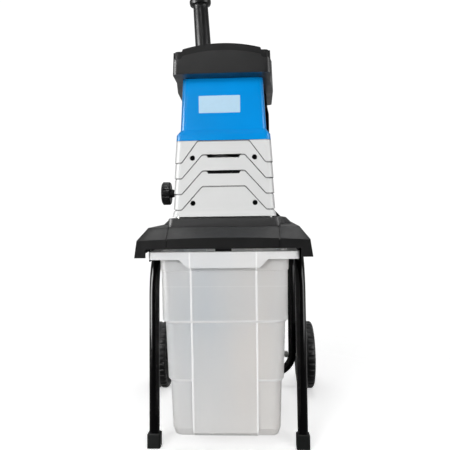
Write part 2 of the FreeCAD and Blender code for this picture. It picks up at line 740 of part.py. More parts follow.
def motor_cover():
    """Pale front cover with four folded bands, two air slots and four sunk screw seats."""
    bands = []
    for band in range(len(CHEVRONS) + 1):
        solid = cover_block(motor_levels(band), 0.0, 15.0)
        if band > 0:
            height, depth = FOLD_GROOVE
            fold = CHEVRONS[band - 1]
            groove = cover_block(motor_levels(band), depth, 15.0).common(below_fold(fold, 0.0))
            solid = solid.common(below_fold(fold, height)).fuse(groove)
        if band < len(CHEVRONS):
            solid = solid.cut(below_fold(CHEVRONS[band], 0.0))
        bands.append(solid)
    outer = fuse(bands)
    hollow = cover_block(motor_levels(len(CHEVRONS)), COVER_WALL + 1.4, 15.0)
    low_hollow = hollow.copy()
    low_hollow.translate(Vector(0, 0, -1))
    high_hollow = hollow.copy()
    high_hollow.translate(Vector(0, 0, 1))
    shell = outer.cut([hollow, low_hollow, high_hollow])
    seats = []
    recesses = []
    for x, z in screw_places():
        seats.append(rod_y(-262.0, -222.0, x, z, 8.5).common(outer))
        recesses.append(rod_y(-270.0, -236.0, x, z, 5.7))
        recesses.append(rod_y(-270.0, -215.0, x, z, 2.6))
    slots = []
    for fold in (CHEVRONS[1], CHEVRONS[2]):
        high = fold[2]
        slots.append(prism_xz([(-38.4, high - 0.1), (-34.0, high - 7.4), (34.0, high - 7.4),
                               (38.4, high - 0.1)], -262.0, -225.0))
    return shell.fuse(seats).cut(recesses + slots).removeSplitter()


def screw_places():
    return [(x, z) for x in (-68.0, 68.0) for z in (560.8, 659.9)]


def cover_screws():
    """Pan-head screws at the bottom of the four seats."""
    screws = []
    for x, z in screw_places():
        head = rod_y(-239.4, -236.05, x, z, 4.9)
        shank = rod_y(-236.2, -212.0, x, z, 2.55)
        slot_a = block(x - 3.0, x + 3.0, -240.0, -237.8, z - 0.6, z + 0.6)
        slot_b = block(x - 0.6, x + 0.6, -240.0, -237.8, z - 3.0, z + 3.0)
        screws.append(cut(fuse([head, shank]), [slot_a, slot_b]))
    return Part.makeCompound(screws)


UPPER_LEVELS = (               # height, half width, front Y of the upper cover
    (COVER_TOP_Z, 88.8, -233.0),
    (722.0, 95.1, -236.6),
    (711.0, 103.3, -242.6),
    (COVER_SPLIT_Z + 0.3, 104.2, -243.2),
)


def upper_cover():
    """Glossy upper front cover with a flared lower edge."""
    outer = cover_block(UPPER_LEVELS, 0.0, 13.0)
    hollow = cover_block(UPPER_LEVELS, COVER_WALL, 13.0)
    low_hollow = hollow.copy()
    low_hollow.translate(Vector(0, 0, -1))
    high_hollow = hollow.copy()
    high_hollow.translate(Vector(0, 0, 1))
    return outer.cut([hollow, low_hollow, high_hollow]).removeSplitter()


def label_plate():
    """Blank plate on the upper cover's face."""
    lean = math.degrees(math.atan2(236.6 - 233.0, COVER_TOP_Z - 722.0))
    high = 19.0
    corners = [Vector(-53.0, 0, -high), Vector(38.0, 0, -high), Vector(38.0, 0, high),
               Vector(-53.0, 0, high)]
    plate = Part.Face(round_wire(corners, 1.5)).extrude(Vector(0, -0.8, 0))
    plate.rotate(Vector(0, 0, 0), Vector(1, 0, 0), -lean)
    middle_z = 777.8
    face_y = -233.0 - (COVER_TOP_Z - middle_z) * math.tan(math.radians(lean))
    plate.translate(Vector(0, face_y - 0.02, middle_z))
    return plate


HOUSING_LEVELS = (             # height, half width of the rear housing
    (835.2, 101.5),
    (803.0, 104.0),
    (785.0, 107.5),
    (698.0, 108.3),
    (545.0, 113.0),
    (528.3, 114.5),
)


def housing_block(inset, top_up, low_down):
    wires = []
    last = len(HOUSING_LEVELS) - 1
    for index, (z, half) in enumerate(HOUSING_LEVELS):
        level = z
        if index == 0:
            level = z + top_up
        if index == last:
            level = z - low_down
        wires.append(round_box_wire(-half + inset, half - inset, COVER_REAR - 40.0, HOUSING_REAR - inset,
                                    level, 16.0 - inset * 0.5))
    solid = loft(wires)
    return solid.cut(block(-150, 150, COVER_REAR - 60, COVER_REAR + 0.3, 500, 860))


def rear_housing():
    """Rear shell around the cutting chamber, with a flared foot and cooling louvres."""
    foot = prism_xz([(-134, 528.3), (134, 528.3), (125, 538.0), (112, 550), (-112, 550), (-125, 538.0)],
                    COVER_REAR + 6.0, HOUSING_REAR + 4.0)
    outer = fuse([housing_block(0.0, 0.0, 0.0), foot])
    hollow = housing_block(COVER_WALL, 1.0, 1.0)
    shell = outer.cut(hollow)
    louvres = []
    for row in range(5):
        z = 560.0 + row * 12.0
        louvres.append(block(-40.0, 40.0, HOUSING_REAR - 6, HOUSING_REAR + 8, z, z + 5.0))
    spindle_way = rod_x(-150, -90, KNOB_Y, KNOB_Z, 8.0)
    return shell.cut(louvres + [spindle_way]).removeSplitter()


# ---- hopper -------------------------------------------------------------------------------
def hood_wire(z, inset, radius):
    right = []
    last = len(HOOD_PLAN) - 1
    for index, (y, half) in enumerate(HOOD_PLAN):
        if index == 0:
            y = y + inset
        if index == last:
            y = y - inset
        right.append(Vector(half - inset, y, z))
    left = [Vector(-point.x, point.y, z) for point in reversed(right)]
    return round_wire(right + left, radius)


def hood_block(inset, z0, z1, lean, radius):
    """Hopper outline between two heights, drawn in slightly towards the top."""
    return loft([hood_wire(z0, inset, radius), hood_wire(z1, inset + lean, radius)])


def hood_trim():
    """Space above the hood's rim: arched in front with a scoop at each corner, rising to the rear."""
    y0 = -300.0
    corner_z = 872.5
    arch_z = 874.0
    arch = Part.Arc(Vector(-83.0, y0, arch_z), Vector(0, y0, 884.6), Vector(83.0, y0, arch_z))
    front_edges = [arch.toShape()]
    for side in (-1, 1):
        wall = Vector(side * 130, y0, corner_z)
        lip = Vector(side * 103.5, y0, corner_z)
        low = Vector(side * 94.5, y0, 867.0)
        scoop_end = Vector(side * 85.3, y0, 869.0)
        front_edges.append(Part.LineSegment(wall, lip).toShape())
        front_edges.append(Part.Arc(lip, low, scoop_end).toShape())
        front_edges.append(Part.LineSegment(scoop_end, Vector(side * 83.0, y0, arch_z)).toShape())
    corners = [Vector(130, y0, corner_z), Vector(130, y0, 990), Vector(-130, y0, 990),
               Vector(-130, y0, corner_z)]
    for first, last in zip(corners[:-1], corners[1:]):
        front_edges.append(Part.LineSegment(first, last).toShape())
    front = Part.Face(Part.Wire(Part.__sortEdges__(front_edges))).extrude(Vector(0, EAR_FRONT - y0, 0))
    sides = prism_yz([(EAR_FRONT, EAR_Z), (100, 933.6), (100, 990), (EAR_FRONT, 990)], -130, 130)
    return front.fuse(sides)


EAR_FRONT = -261.5             # the side walls rise to square ears from here on
EAR_Z = 884.0
FUNNEL_X = 80.0                # half width of the funnel's mouth
FUNNEL_FRONT = -205.0
FUNNEL_REAR = 52.0
THROAT_X = (-67.0, 38.0)
THROAT_Z = 692.0
FUNNEL_KNEE_Z = 780.0


def hopper_hood():
    """Textured outer shell of the hopper."""
    outer = hood_block(0.0, HOOD_LOW_Z, 925.0, 3.5, 12.0)
    inner = hood_block(HOOD_WALL, HOOD_LOW_Z + HOOD_WALL, 926.0, 3.5, 9.5)
    shell = outer.cut([inner, hood_trim()])
    way_down = block(-FUNNEL_X - 3, FUNNEL_X + 3, FUNNEL_FRONT - 3, FUNNEL_REAR + 3, 830, 845)
    return shell.cut([way_down] + hopper_screw_holes()).removeSplitter()


def liner_trim():
    """Space above the liner's rim: a high arch between two square ears in front, rising to the rear."""
    y0 = -300.0
    edges = [
        Part.LineSegment(Vector(-130, y0, 884.2), Vector(-84.6, y0, 884.2)).toShape(),
        Part.LineSegment(Vector(-84.6, y0, 884.2), Vector(-82.6, y0, 889.3)).toShape(),
        Part.Arc(Vector(-82.6, y0, 889.3), Vector(0, y0, 900.2), Vector(82.6, y0, 889.3)).toShape(),
        Part.LineSegment(Vector(82.6, y0, 889.3), Vector(84.6, y0, 884.2)).toShape(),
        Part.LineSegment(Vector(84.6, y0, 884.2), Vector(130, y0, 884.2)).toShape(),
    ]
    corners = [Vector(130, y0, 884.2), Vector(130, y0, 1000), Vector(-130, y0, 1000),
               Vector(-130, y0, 884.2)]
    for first, last in zip(corners[:-1], corners[1:]):
        edges.append(Part.LineSegment(first, last).toShape())
    front = Part.Face(Part.Wire(edges)).extrude(Vector(0, 50, 0))
    sides = prism_yz([(-250.5, 884.2), (100, 934), (100, 1000), (-250.5, 1000)], -130, 130)
    return front.fuse(sides)


def funnel_solid(grow):
    mouth_z = HOOD_LOW_Z + HOOD_WALL + 2.8
    wires = []
    half = FUNNEL_X + grow
    for z in (mouth_z, FUNNEL_KNEE_Z):
        wires.append(round_box_wire(-half, half, FUNNEL_FRONT - grow, FUNNEL_REAR + grow, z, 14.0 + grow))
    wires.append(round_box_wire(THROAT_X[0] - grow, THROAT_X[1] + grow,
                                DRUM_FRONT - grow, DRUM_REAR + grow, THROAT_Z, 8.0 + grow))
    return loft(wires)


def hopper_liner():
    """Smooth inner hopper: upstanding rim, flat floor and the funnel down to the drum."""
    floor_z = HOOD_LOW_Z + HOOD_WALL + 0.2
    outer = hood_block(HOOD_WALL + 0.3, floor_z, 940.0, 4.0, 9.2)
    inner = hood_block(HOOD_WALL + 2.9, floor_z + 2.6, 941.0, 4.0, 6.6)
    tub = outer.cut([inner, liner_trim()])
    funnel = funnel_solid(2.6)
    way = funnel_solid(0.0)
    way_up = way.copy()
    way_up.translate(Vector(0, 0, 2))
    way_down = way.copy()
    way_down.translate(Vector(0, 0, -1))
    whole = tub.fuse(funnel).cut([way, way_up, way_down] + hopper_screw_holes())
    return whole.removeSplitter()


def hopper_screw_places():
    return [(x, y) for x in (-92.0, 92.0) for y in (-150.0, 20.0)]


def hopper_screw_holes():
    return [rod_z(830.0, 850.0, x, y, 2.5) for x, y in hopper_screw_places()]


def hopper_screws():
    """Pan-head screws through the hopper's floor."""
    floor_top = HOOD_LOW_Z + HOOD_WALL + 2.85
    screws = []
    for x, y in hopper_screw_places():
        head = rod_z(floor_top, floor_top + 3.2, x, y, 5.0)
        shank = rod_z(HOOD_LOW_Z - 4.0, floor_top + 0.1, x, y, 2.4)
        screws.append(fuse([head, shank]))
    return Part.makeCompound(screws)


PUSHER_BASE = Vector(-42.9, -26.0, 677.0)
PUSHER_LEAN = 3.0              # degrees towards -X
PUSHER_LENGTH = 425.4
PUSHER_HALF_X = 20.5
PUSHER_HALF_Y = 29.0


def pusher():
    """Stick for pushing branches down: ball end, collar, round grip and ribbed blade."""
    top = PUSHER_LENGTH
    blade_top = 150.0
    profile = [
        (0.0, blade_top), (20.6, blade_top), (19.9, top - 110.0), (19.0, top - 33.0), (20.8, top - 30.0),
        (26.0, top - 27.5), (27.5, top - 23.0), (27.5, top - 17.0), (25.4, top - 13.0), (20.4, top - 10.4),
        (14.8, top - 8.9), (12.2, top - 4.4), (7.1, top - 1.1), (0.0, top),
    ]
    wire = flat_wire([Vector(radius, 0, height) for radius, height in profile])
    stick = Part.Face(wire).revolve(Vector(0, 0, 0), Vector(0, 0, 1), 360)
    low = round_box_wire(-PUSHER_HALF_X, PUSHER_HALF_X, -PUSHER_HALF_Y, PUSHER_HALF_Y, 0, 4)
    high = round_box_wire(-20.0, 20.0, -27.0, 27.0, blade_top - 14.0, 4)
    neck = round_box_wire(-14, 14, -14, 14, blade_top + 6, 4)
    blade = loft([low, high])
    shoulder = loft([high, neck])
    pockets = []
    for side in (-1, 1):
        for y in (-13.0, 13.0):
            for z in (10.0, 74.0):
                x0 = side * (PUSHER_HALF_X + 1.0)
                x1 = side * 6.0
                pockets.append(block(min(x0, x1), max(x0, x1), y - 10.0, y + 10.0, z, z + 56.0))
    body = fuse([stick, blade, shoulder]).cut(pockets)
    body.rotate(Vector(0, 0, 0), Vector(0, 1, 0), -PUSHER_LEAN)
    body.translate(PUSHER_BASE)
    return body


# ---- cutting unit -------------------------------------------------------------------------
def chamber_housing():
    """Cast chamber around the drum, open above for branches and below for chips."""
    left = CHAMBER_LEFT
    right = DRUM_X + DRUM_R + 13.0
    low = PLINTH_Z + 3.2
    high = 690.0
    body = block(left, right, CASE_PLANE - 14.0, DRUM_REAR + 14.0, low, high)
    room = block(left + 12.0, right - 9.0, CASE_PLANE, DRUM_REAR + 2.0, low - 1, high + 1)
    roof_left = block(left + 11.0, THROAT_X[0] - 6, CASE_PLANE - 1, DRUM_REAR + 3, high - 8, high)
    body = body.cut(room).fuse(roof_left)
    holes = [
        rod_y(CASE_PLANE - 20, CASE_PLANE - 2, DRUM_X, DRUM_Z, 23.5),
        rod_y(CASE_PLANE - 3, CASE_PLANE + 1, DRUM_X, DRUM_Z, SHAFT_R + 0.6),
        rod_y(DRUM_REAR + 1, DRUM_REAR + 3, DRUM_X, DRUM_Z, SHAFT_R + 0.6),
        rod_y(DRUM_REAR + 2.5, DRUM_REAR + 20, DRUM_X, DRUM_Z, 23.5),
        rod_y(CASE_PLANE - 20, CASE_PLANE - 3, IDLER_X, IDLER_Z, 17.5),
        rod_x(left - 5, left + 15, KNOB_Y, KNOB_Z, SPINDLE_R + RUN_FIT),
    ]
    return cut(body, holes)


def gear_case():
    """Front half of the gear case, a lidded tray bolted to the chamber."""
    left = IDLER_X - 48.6
    right = DRUM_X + 65.0
    low = PLINTH_Z + 3.2
    high = IDLER_Z + 50.0
    front = -124.0
    rear = CASE_PLANE - 14.2
    body = block(left, right, front, rear, low, high)
    room = block(left + 4, right - 4, front + 4.0, rear + 1, low + 4, high - 4)
    holes = [
        rod_y(front - 1, front + 5, MOTOR_X, MOTOR_Z, SMALL_SHAFT_R + 0.8),
    ]
    boss = rod_y(front + 3.0, front + 5.5, IDLER_X, IDLER_Z, 22.0)
    seat = rod_y(front + 2.0, front + 8, IDLER_X, IDLER_Z, 17.5)
    return cut(body.cut(room).fuse(boss), holes + [seat])


def cutting_drum():
    """Toothed steel roller: eight saw-shaped flutes and four ring grooves."""
    teeth = 8
    points = []
    for tooth in range(teeth):
        start = 2.0 * math.pi * tooth / teeth
        for offset, depth in ((0.0, 0.0), (0.10, 0.4), (0.16, 13.0), (0.42, 10.0)):
            angle = start + offset
            radius = DRUM_R - depth
            points.append((DRUM_X + radius * math.cos(angle), DRUM_Z + radius * math.sin(angle)))
    body = prism_xz(points, DRUM_FRONT, DRUM_REAR)
    grooves = []
    for ring in range(1, 5):
        y = DRUM_FRONT + ring * (DRUM_REAR - DRUM_FRONT) / 5.0
        groove = [(y - 1.5, 40.0), (y + 1.5, 40.0), (y + 1.5, 52.0), (y - 1.5, 52.0)]
        grooves.append(turned_about_y(groove, DRUM_X, DRUM_Z))
    grooves.append(rod_y(DRUM_FRONT - 1, DRUM_REAR + 1, DRUM_X, DRUM_Z, 14.0))
    return body.cut(grooves)


def drum_shaft():
    """Shaft through the drum, stepped down at its bearings."""
    end_y = DRUM_REAR + 14.0
    middle = rod_y(DRUM_FRONT, DRUM_REAR, DRUM_X, DRUM_Z, 14.0)
    long_run = rod_y(-99.0, end_y, DRUM_X, DRUM_Z, SHAFT_R)
    return fuse([middle, long_run])


def drum_bearings():
    front = bearing(CASE_PLANE - 14.0, CASE_PLANE - 2.0, DRUM_X, DRUM_Z, SHAFT_R + RUN_FIT, 23.5)
    rear = bearing(DRUM_REAR + 2.5, DRUM_REAR + 14.0, DRUM_X, DRUM_Z, SHAFT_R + RUN_FIT, 23.5)
    return Part.makeCompound([front, rear])


def bearing_cover():
    """Round cap over the drum's rear bearing, held by three screws."""
    first = DRUM_REAR + 14.2
    cap = turned_about_y([(first, 0), (first, 33), (first + 3, 33), (first + 6, 24), (first + 8, 12),
                          (first + 8, 0)], DRUM_X, DRUM_Z)
    screws = []
    for step in range(3):
        angle = math.radians(90 + 120 * step)
        screws.append(rod_y(first + 2, first + 6.5, DRUM_X + 28.5 * math.cos(angle),
                            DRUM_Z + 28.5 * math.sin(angle), 3.2))
    return fuse([cap] + screws)


def pressure_plate():
    """Counter plate that branches are squeezed against, with the spindle's threaded boss."""
    face_x = DRUM_X - DRUM_R - 3.0
    back_x = face_x - 12
    outline = [(back_x, 552), (face_x, 552), (face_x, 640), (face_x - 5, 650), (back_x, 650)]
    plate = prism_xz(outline, DRUM_FRONT + 0.5, DRUM_REAR - 0.5)
    boss = rod_x(face_x - 34.0, face_x - 11.0, KNOB_Y, KNOB_Z, 13.0)
    bore = rod_x(face_x - 35.0, face_x - 8.0, KNOB_Y, KNOB_Z, SPINDLE_R + RUN_FIT)
    return cut(fuse([plate, boss]), [bore])


def adjust_spindle():
    """Screw spindle from the knob to the counter plate, with its thrust collar."""
    core = rod_x(-151.8, DRUM_X - DRUM_R - 16.0, KNOB_Y, KNOB_Z, SPINDLE_R)
    collar = rod_x(CHAMBER_LEFT - 7.0, CHAMBER_LEFT - 0.3, KNOB_Y, KNOB_Z, 9.0)
    return fuse([core, collar])


def adjust_knob():
    """Ribbed hand knob on the left side."""
    outer_x = -172.6
    inner_x = -149.3
    radius = 29.9
    profile = [(inner_x + 8.5, 5.0), (inner_x + 8.5, 9.5), (inner_x, 12.0), (inner_x, radius - 3.0),
               (inner_x - 3.0, radius), (outer_x + 4.0, radius), (outer_x + 0.8, radius - 4.0),
               (outer_x, radius - 9.0), (outer_x, 0.0), (-151.8, 0.0), (-151.8, 5.0)]
    body = turned_about_x(profile, KNOB_Y, KNOB_Z)
    flutes = []
    for step in range(12):
        angle = math.radians(15 + 30 * step)
        y = KNOB_Y + (radius + 2.2) * math.cos(angle)
        z = KNOB_Z + (radius + 2.2) * math.sin(angle)
        flutes.append(rod_x(outer_x - 1, inner_x + 1, y, z, 4.2))
    return body.cut(flutes)


# ---- gears and motor ----------------------------------------------------------------------
def drum_gear():
    return gear_blank(STAGE2_MODULE, WHEEL_TEETH, -98.0, -79.0, DRUM_X, DRUM_Z, SHAFT_R, 0.0)


def idler_shaft():
    """Shaft with the small second-stage pinion cut on it."""
    turn = meshing_turn(WHEEL_TEETH, 0.0, PINION_TEETH, IDLER_ANGLE)
    pinion = gear_blank(STAGE2_MODULE, PINION_TEETH, -99.0, -78.0, IDLER_X, IDLER_Z, 0.0, turn)
    core = rod_y(-121.5, -66.0, IDLER_X, IDLER_Z, SMALL_SHAFT_R)
    return fuse([pinion, core])


def idler_gear():
    return gear_blank(STAGE1_MODULE, WHEEL_TEETH, -115.0, -103.0, IDLER_X, IDLER_Z, SMALL_SHAFT_R, 0.0)


def idler_bearings():
    front = bearing(-122.0, -116.5, IDLER_X, IDLER_Z, SMALL_SHAFT_R + RUN_FIT, 17.5)
    rear = bearing(-76.0, -65.0, IDLER_X, IDLER_Z, SMALL_SHAFT_R + RUN_FIT, 17.5)
    return Part.makeCompound([front, rear])


def motor_shaft():
    """Rotor shaft with the first-stage pinion at its rear end."""
    turn = meshing_turn(WHEEL_TEETH, 0.0, PINION_TEETH, MOTOR_ANGLE)
    pinion = gear_blank(STAGE1_MODULE, PINION_TEETH, -118.0, -102.0, MOTOR_X, MOTOR_Z, 0.0, turn)
    core = rod_y(-236.0, -117.5, MOTOR_X, MOTOR_Z, SMALL_SHAFT_R)
    return fuse([pinion, core])


def rotor_core():
    core = turned_about_y([(-208, SMALL_SHAFT_R), (-142, SMALL_SHAFT_R), (-142, 33.5), (-208, 33.5)],
                          MOTOR_X, MOTOR_Z)
    slots = []
    for step in range(16):
        angle = 2.0 * math.pi * step / 16
        x = MOTOR_X + 33.5 * math.cos(angle)
        z = MOTOR_Z + 33.5 * math.sin(angle)
        slots.append(rod_y(-209, -141, x, z, 1.4))
    return core.cut(slots)


def motor_stator():
    """Laminated stator with flats at its corners and windings showing at both ends."""
    stack = rod_y(-204, -146, MOTOR_X, MOTOR_Z, 61.0)
    flats = []
    for side in (-1, 1):
        x = MOTOR_X + side * 72
        flats.append(block(x - 14, x + 14, -210, -140, MOTOR_Z - 70, MOTOR_Z + 70))
    windings = turned_about_y([(-213, 38), (-137, 38), (-137, 52), (-213, 52)], MOTOR_X, MOTOR_Z)
    bore = rod_y(-220, -130, MOTOR_X, MOTOR_Z, 34.3)
    return cut(fuse([stack.cut(flats), windings]), [bore])


def motor_bell(inner_y, outer_y):
    """Cast end shield with a bearing seat and three arms out to the stator."""
    step = 1.0
    if outer_y < inner_y:
        step = -1.0
    hub = rod_y(min(inner_y, outer_y), max(inner_y, outer_y), MOTOR_X, MOTOR_Z, 22.0)
    arms = []
    for arm in range(3):
        bar = block(-6, 6, -1.5, 1.5, 0, 60)
        bar.rotate(Vector(0, 0, 0), Vector(0, 1, 0), 120.0 * arm)
        bar.translate(Vector(MOTOR_X, outer_y - step * 3.0, MOTOR_Z))
        arms.append(bar)
    rim_lo = min(outer_y - step * 4.5, outer_y - step * 1.5)
    ring = rod_y(rim_lo, rim_lo + 3.0, MOTOR_X, MOTOR_Z, 60.0)
    ring = ring.cut(rod_y(rim_lo - 1, rim_lo + 4, MOTOR_X, MOTOR_Z, 55.0))
    return fuse([hub, ring] + arms).cut(rod_y(-250, -100, MOTOR_X, MOTOR_Z, 17.5))


def motor_bearings():
    front = bearing(-226.0, -215.0, MOTOR_X, MOTOR_Z, SMALL_SHAFT_R + RUN_FIT, 17.5)
    rear = bearing(-135.5, -124.5, MOTOR_X, MOTOR_Z, SMALL_SHAFT_R + RUN_FIT, 17.5)
    return Part.makeCompound([front, rear])


def cooling_fan():
    """Small bladed fan on the front end of the rotor shaft."""
    hub = rod_y(-235.0, -228.5, MOTOR_X, MOTOR_Z, 16.0)
    disc = rod_y(-230.5, -228.5, MOTOR_X, MOTOR_Z, 48.0)
    blades = []
    for step in range(9):
        blade = block(12, 47, -234.0, -229.0, -1.0, 1.0)
        blade.rotate(Vector(0, 0, 0), Vector(0, 1, 0), 40.0 * step)
        blade.translate(Vector(MOTOR_X, 0, MOTOR_Z))
        blades.append(blade)
    return fuse([hub, disc] + blades).cut(rod_y(-240, -220, MOTOR_X, MOTOR_Z, SMALL_SHAFT_R))


def run_capacitor():
    """Capacitor can lying across the space above the motor."""
    can = turned_about_x([(-42, 0), (-42, 18), (-40, 20), (38, 20), (40, 18), (40, 0)], -200.0, 700.0)
    posts = [rod_x(-47, -41, -200.0 + offset, 700.0, 2.5) for offset in (-8, 8)]
    return fuse([can] + posts)


# ---- controls -----------------------------------------------------------------------------
PANEL_Y = 164.0
START_PLACE = (-24.0, 752.0)
STOP_PLACE = (24.0, 752.0)
SELECTOR_PLACE = (0.0, 706.0)
RESET_PLACE = (30.0, 664.0)
INLET_PLACE = (-18.0, 662.0)
BUTTON_TRAVEL = 4.0


def control_box():
    """Switch housing on the back, with wells for the buttons and the inlet."""
    low = round_box_wire(-54, 54, HOUSING_REAR + 0.2, PANEL_Y, 640.0, 9.0)
    high = round_box_wire(-50, 50, HOUSING_REAR + 0.2, PANEL_Y - 4.0, 782.0, 9.0)
    body = loft([low, high])
    wells = [
        rod_y(PANEL_Y - 22, PANEL_Y + 5, START_PLACE[0], START_PLACE[1], 12.4),
        rod_y(PANEL_Y - 22, PANEL_Y + 5, STOP_PLACE[0], STOP_PLACE[1], 14.4),
        rod_y(PANEL_Y - 22, PANEL_Y + 5, SELECTOR_PLACE[0], SELECTOR_PLACE[1], 6.05),
        rod_y(PANEL_Y - 22, PANEL_Y + 5, RESET_PLACE[0], RESET_PLACE[1], 6.4),
        block(INLET_PLACE[0] - 17.1, INLET_PLACE[0] + 17.1, PANEL_Y - 30, PANEL_Y + 5,
              INLET_PLACE[1] - 14.1, INLET_PLACE[1] + 14.1),
    ]
    return cut(body, wells)


def power_inlet():
    """Recessed plug inlet with three pins; the lead is not part of the machine."""
    x, z = INLET_PLACE
    face = PANEL_Y - 1.6
    shell = block(x - 17.0, x + 17.0, PANEL_Y - 29.8, face, z - 14.0, z + 14.0)
    shell = shell.cut(block(x - 14.5, x + 14.5, PANEL_Y - 22.0, face + 1, z - 11.5, z + 11.5))
    pins = []
    for offset in (-8.0, 0.0, 8.0):
        pin_x = x + offset
        pins.append(block(pin_x - 1.2, pin_x + 1.2, PANEL_Y - 23.0, PANEL_Y - 9.0, z - 3.0, z + 3.0))
    return fuse([shell] + pins)


def push_button(place, radius, crown):
    x, z = place
    rest = PANEL_Y + 3.5
    profile = [(PANEL_Y - 16.0, 0), (PANEL_Y - 16.0, radius), (rest - 1.2, radius), (rest, radius - 1.6),
               (rest + crown, 0)]
    return turned_about_y(profile, x, z)


def direction_switch():
    """Rotary selector with a finger bar across its round base."""
    x, z = SELECTOR_PLACE
    stem = rod_y(PANEL_Y - 18.0, PANEL_Y + 1.0, x, z, 6.0)
    disc = turned_about_y([(PANEL_Y + 0.4, 0), (PANEL_Y + 0.4, 18.0), (PANEL_Y + 3.0, 18.0),
                           (PANEL_Y + 4.5, 16.5), (PANEL_Y + 4.5, 0)], x, z)
    bar = block(x - 4.5, x + 4.5, PANEL_Y + 4.0, PANEL_Y + 14.0, z - 16.0, z + 16.0)
    bar = bar.makeFillet(2.5, [edge for edge in bar.Edges if edge.CenterOfMass.y > PANEL_Y + 5.0])
    return fuse([stem, disc, bar])


def transport_handle():
    """Bent tube handle at the back of the housing, with its two flanges."""
    half = 72.0
    root_y = HOUSING_REAR - 0.5
    reach_y = 176.0
    z = 812.0
    bend = 22.0
    corner = bend * (1.0 - math.sqrt(0.5))
    path = [
        Part.LineSegment(Vector(-half, root_y, z), Vector(-half, reach_y - bend, z)).toShape(),
        Part.Arc(Vector(-half, reach_y - bend, z), Vector(-half + corner, reach_y - corner, z),
                 Vector(-half + bend, reach_y, z)).toShape(),
        Part.LineSegment(Vector(-half + bend, reach_y, z), Vector(half - bend, reach_y, z)).toShape(),
        Part.Arc(Vector(half - bend, reach_y, z), Vector(half - corner, reach_y - corner, z),
                 Vector(half, reach_y - bend, z)).toShape(),
        Part.LineSegment(Vector(half, reach_y - bend, z), Vector(half, root_y, z)).toShape(),
    ]
    flanges = []
    for side in (-1, 1):
        flanges.append(rod_y(HOUSING_REAR + 0.2, HOUSING_REAR + 5.0, side * half, z, 17.0))
    tube = pipe(path, 10.5).cut(block(-200, 200, 0, HOUSING_REAR + 0.2, 700, 900))
    return fuse([tube] + flanges)


# ---- build --------------------------------------------------------------------------------
def all_parts():
    right_tube = side_tube()
    right_foot = foot_cap()
    right_rail = box_rail()
    right_wheel = wheel()
    right_cap = hub_cap()
    return {
        "side_tube_right": right_tube,
        "side_tube_left": mirrored(right_tube),
        "rear_axle_tube": rear_axle_tube(),
        "foot_cap_right": right_foot,
        "foot_cap_left": mirrored(right_foot),
        "wheel_right": right_wheel,
        "wheel_left": mirrored(right_wheel),
        "hub_cap_right": right_cap,
        "hub_cap_left": mirrored(right_cap),
        "axle_bolts": Part.makeCompound(both_sides(axle_bolt())),
        "axle_nuts": Part.makeCompound(both_sides(axle_nut())),
        "hub_spacers": Part.makeCompound(both_sides(hub_spacer())),
        "frame_screws": frame_screws(),
        "base_tray": base_tray(),
        "motor_plinth": motor_plinth(),
        "box_rail_right": right_rail,
        "box_rail_left": mirrored(right_rail),
        "mounting_plate": mounting_plate(),
        "discharge_chute": discharge_chute(),
        "collection_box": collection_box(),
        "box_latch": box_latch(),
        "interlock_switch": interlock_switch(),
        "motor_cover": motor_cover(),
        "cover_screws": cover_screws(),
        "upper_cover": upper_cover(),
        "label_plate": label_plate(),
        "rear_housing": rear_housing(),
        "hopper_hood": hopper_hood(),
        "hopper_liner": hopper_liner(),
        "hopper_screws": hopper_screws(),
        "pusher": pusher(),
        "chamber_housing": chamber_housing(),
        "gear_case": gear_case(),
        "cutting_drum": cutting_drum(),
        "drum_shaft": drum_shaft(),
        "drum_bearings": drum_bearings(),
        "bearing_cover": bearing_cover(),
        "pressure_plate": pressure_plate(),
        "adjust_spindle": adjust_spindle(),
        "adjust_knob": adjust_knob(),
        "drum_gear": drum_gear(),
        "idler_shaft": idler_shaft(),
        "idler_gear": idler_gear(),
        "idler_bearings": idler_bearings(),
        "motor_shaft": motor_shaft(),
        "rotor_core": rotor_core(),
        "motor_stator": motor_stator(),
        "motor_bell_front": motor_bell(-213.5, -226.5),
        "motor_bell_rear": motor_bell(-136.5, -124.2),
        "motor_bearings": motor_bearings(),
        "cooling_fan": cooling_fan(),
        "run_capacitor": run_capacitor(),
        "control_box": control_box(),
        "power_inlet": power_inlet(),
        "start_button": push_button(START_PLACE, 12.0, 1.0),
        "stop_button": push_button(STOP_PLACE, 14.0, 2.0),
        "reset_button": push_button(RESET_PLACE, 6.0, 0.6),
        "direction_switch": direction_switch(),
        "transport_handle": transport_handle(),
    }


def main():
    os.makedirs("parts", exist_ok=True)
    for name, shape in all_parts().items():
        shape.exportStep("parts/" + name + ".step")


main()
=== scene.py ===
import math

import bpy
from mathutils import Matrix, Vector


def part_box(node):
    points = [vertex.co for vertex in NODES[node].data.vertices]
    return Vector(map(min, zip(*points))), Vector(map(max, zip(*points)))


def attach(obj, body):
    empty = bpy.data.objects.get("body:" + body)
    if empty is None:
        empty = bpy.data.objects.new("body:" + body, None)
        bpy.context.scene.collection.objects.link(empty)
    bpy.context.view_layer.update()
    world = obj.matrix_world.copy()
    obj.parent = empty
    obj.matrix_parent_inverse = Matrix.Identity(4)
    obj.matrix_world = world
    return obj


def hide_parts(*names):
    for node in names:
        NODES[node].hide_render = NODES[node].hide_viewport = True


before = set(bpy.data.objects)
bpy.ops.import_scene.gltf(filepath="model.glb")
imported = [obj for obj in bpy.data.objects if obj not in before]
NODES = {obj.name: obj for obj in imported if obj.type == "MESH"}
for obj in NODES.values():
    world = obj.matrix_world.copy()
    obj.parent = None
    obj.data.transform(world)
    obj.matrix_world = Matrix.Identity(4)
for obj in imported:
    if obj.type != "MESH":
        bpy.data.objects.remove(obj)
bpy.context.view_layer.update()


# ---- camera -------------------------------------------------------------------------------
CAMERA_PLACE = Vector((0.05344, -1.39906, 0.54305))
CAMERA_YAW = 0.0525219
CAMERA_PITCH = -0.0264016
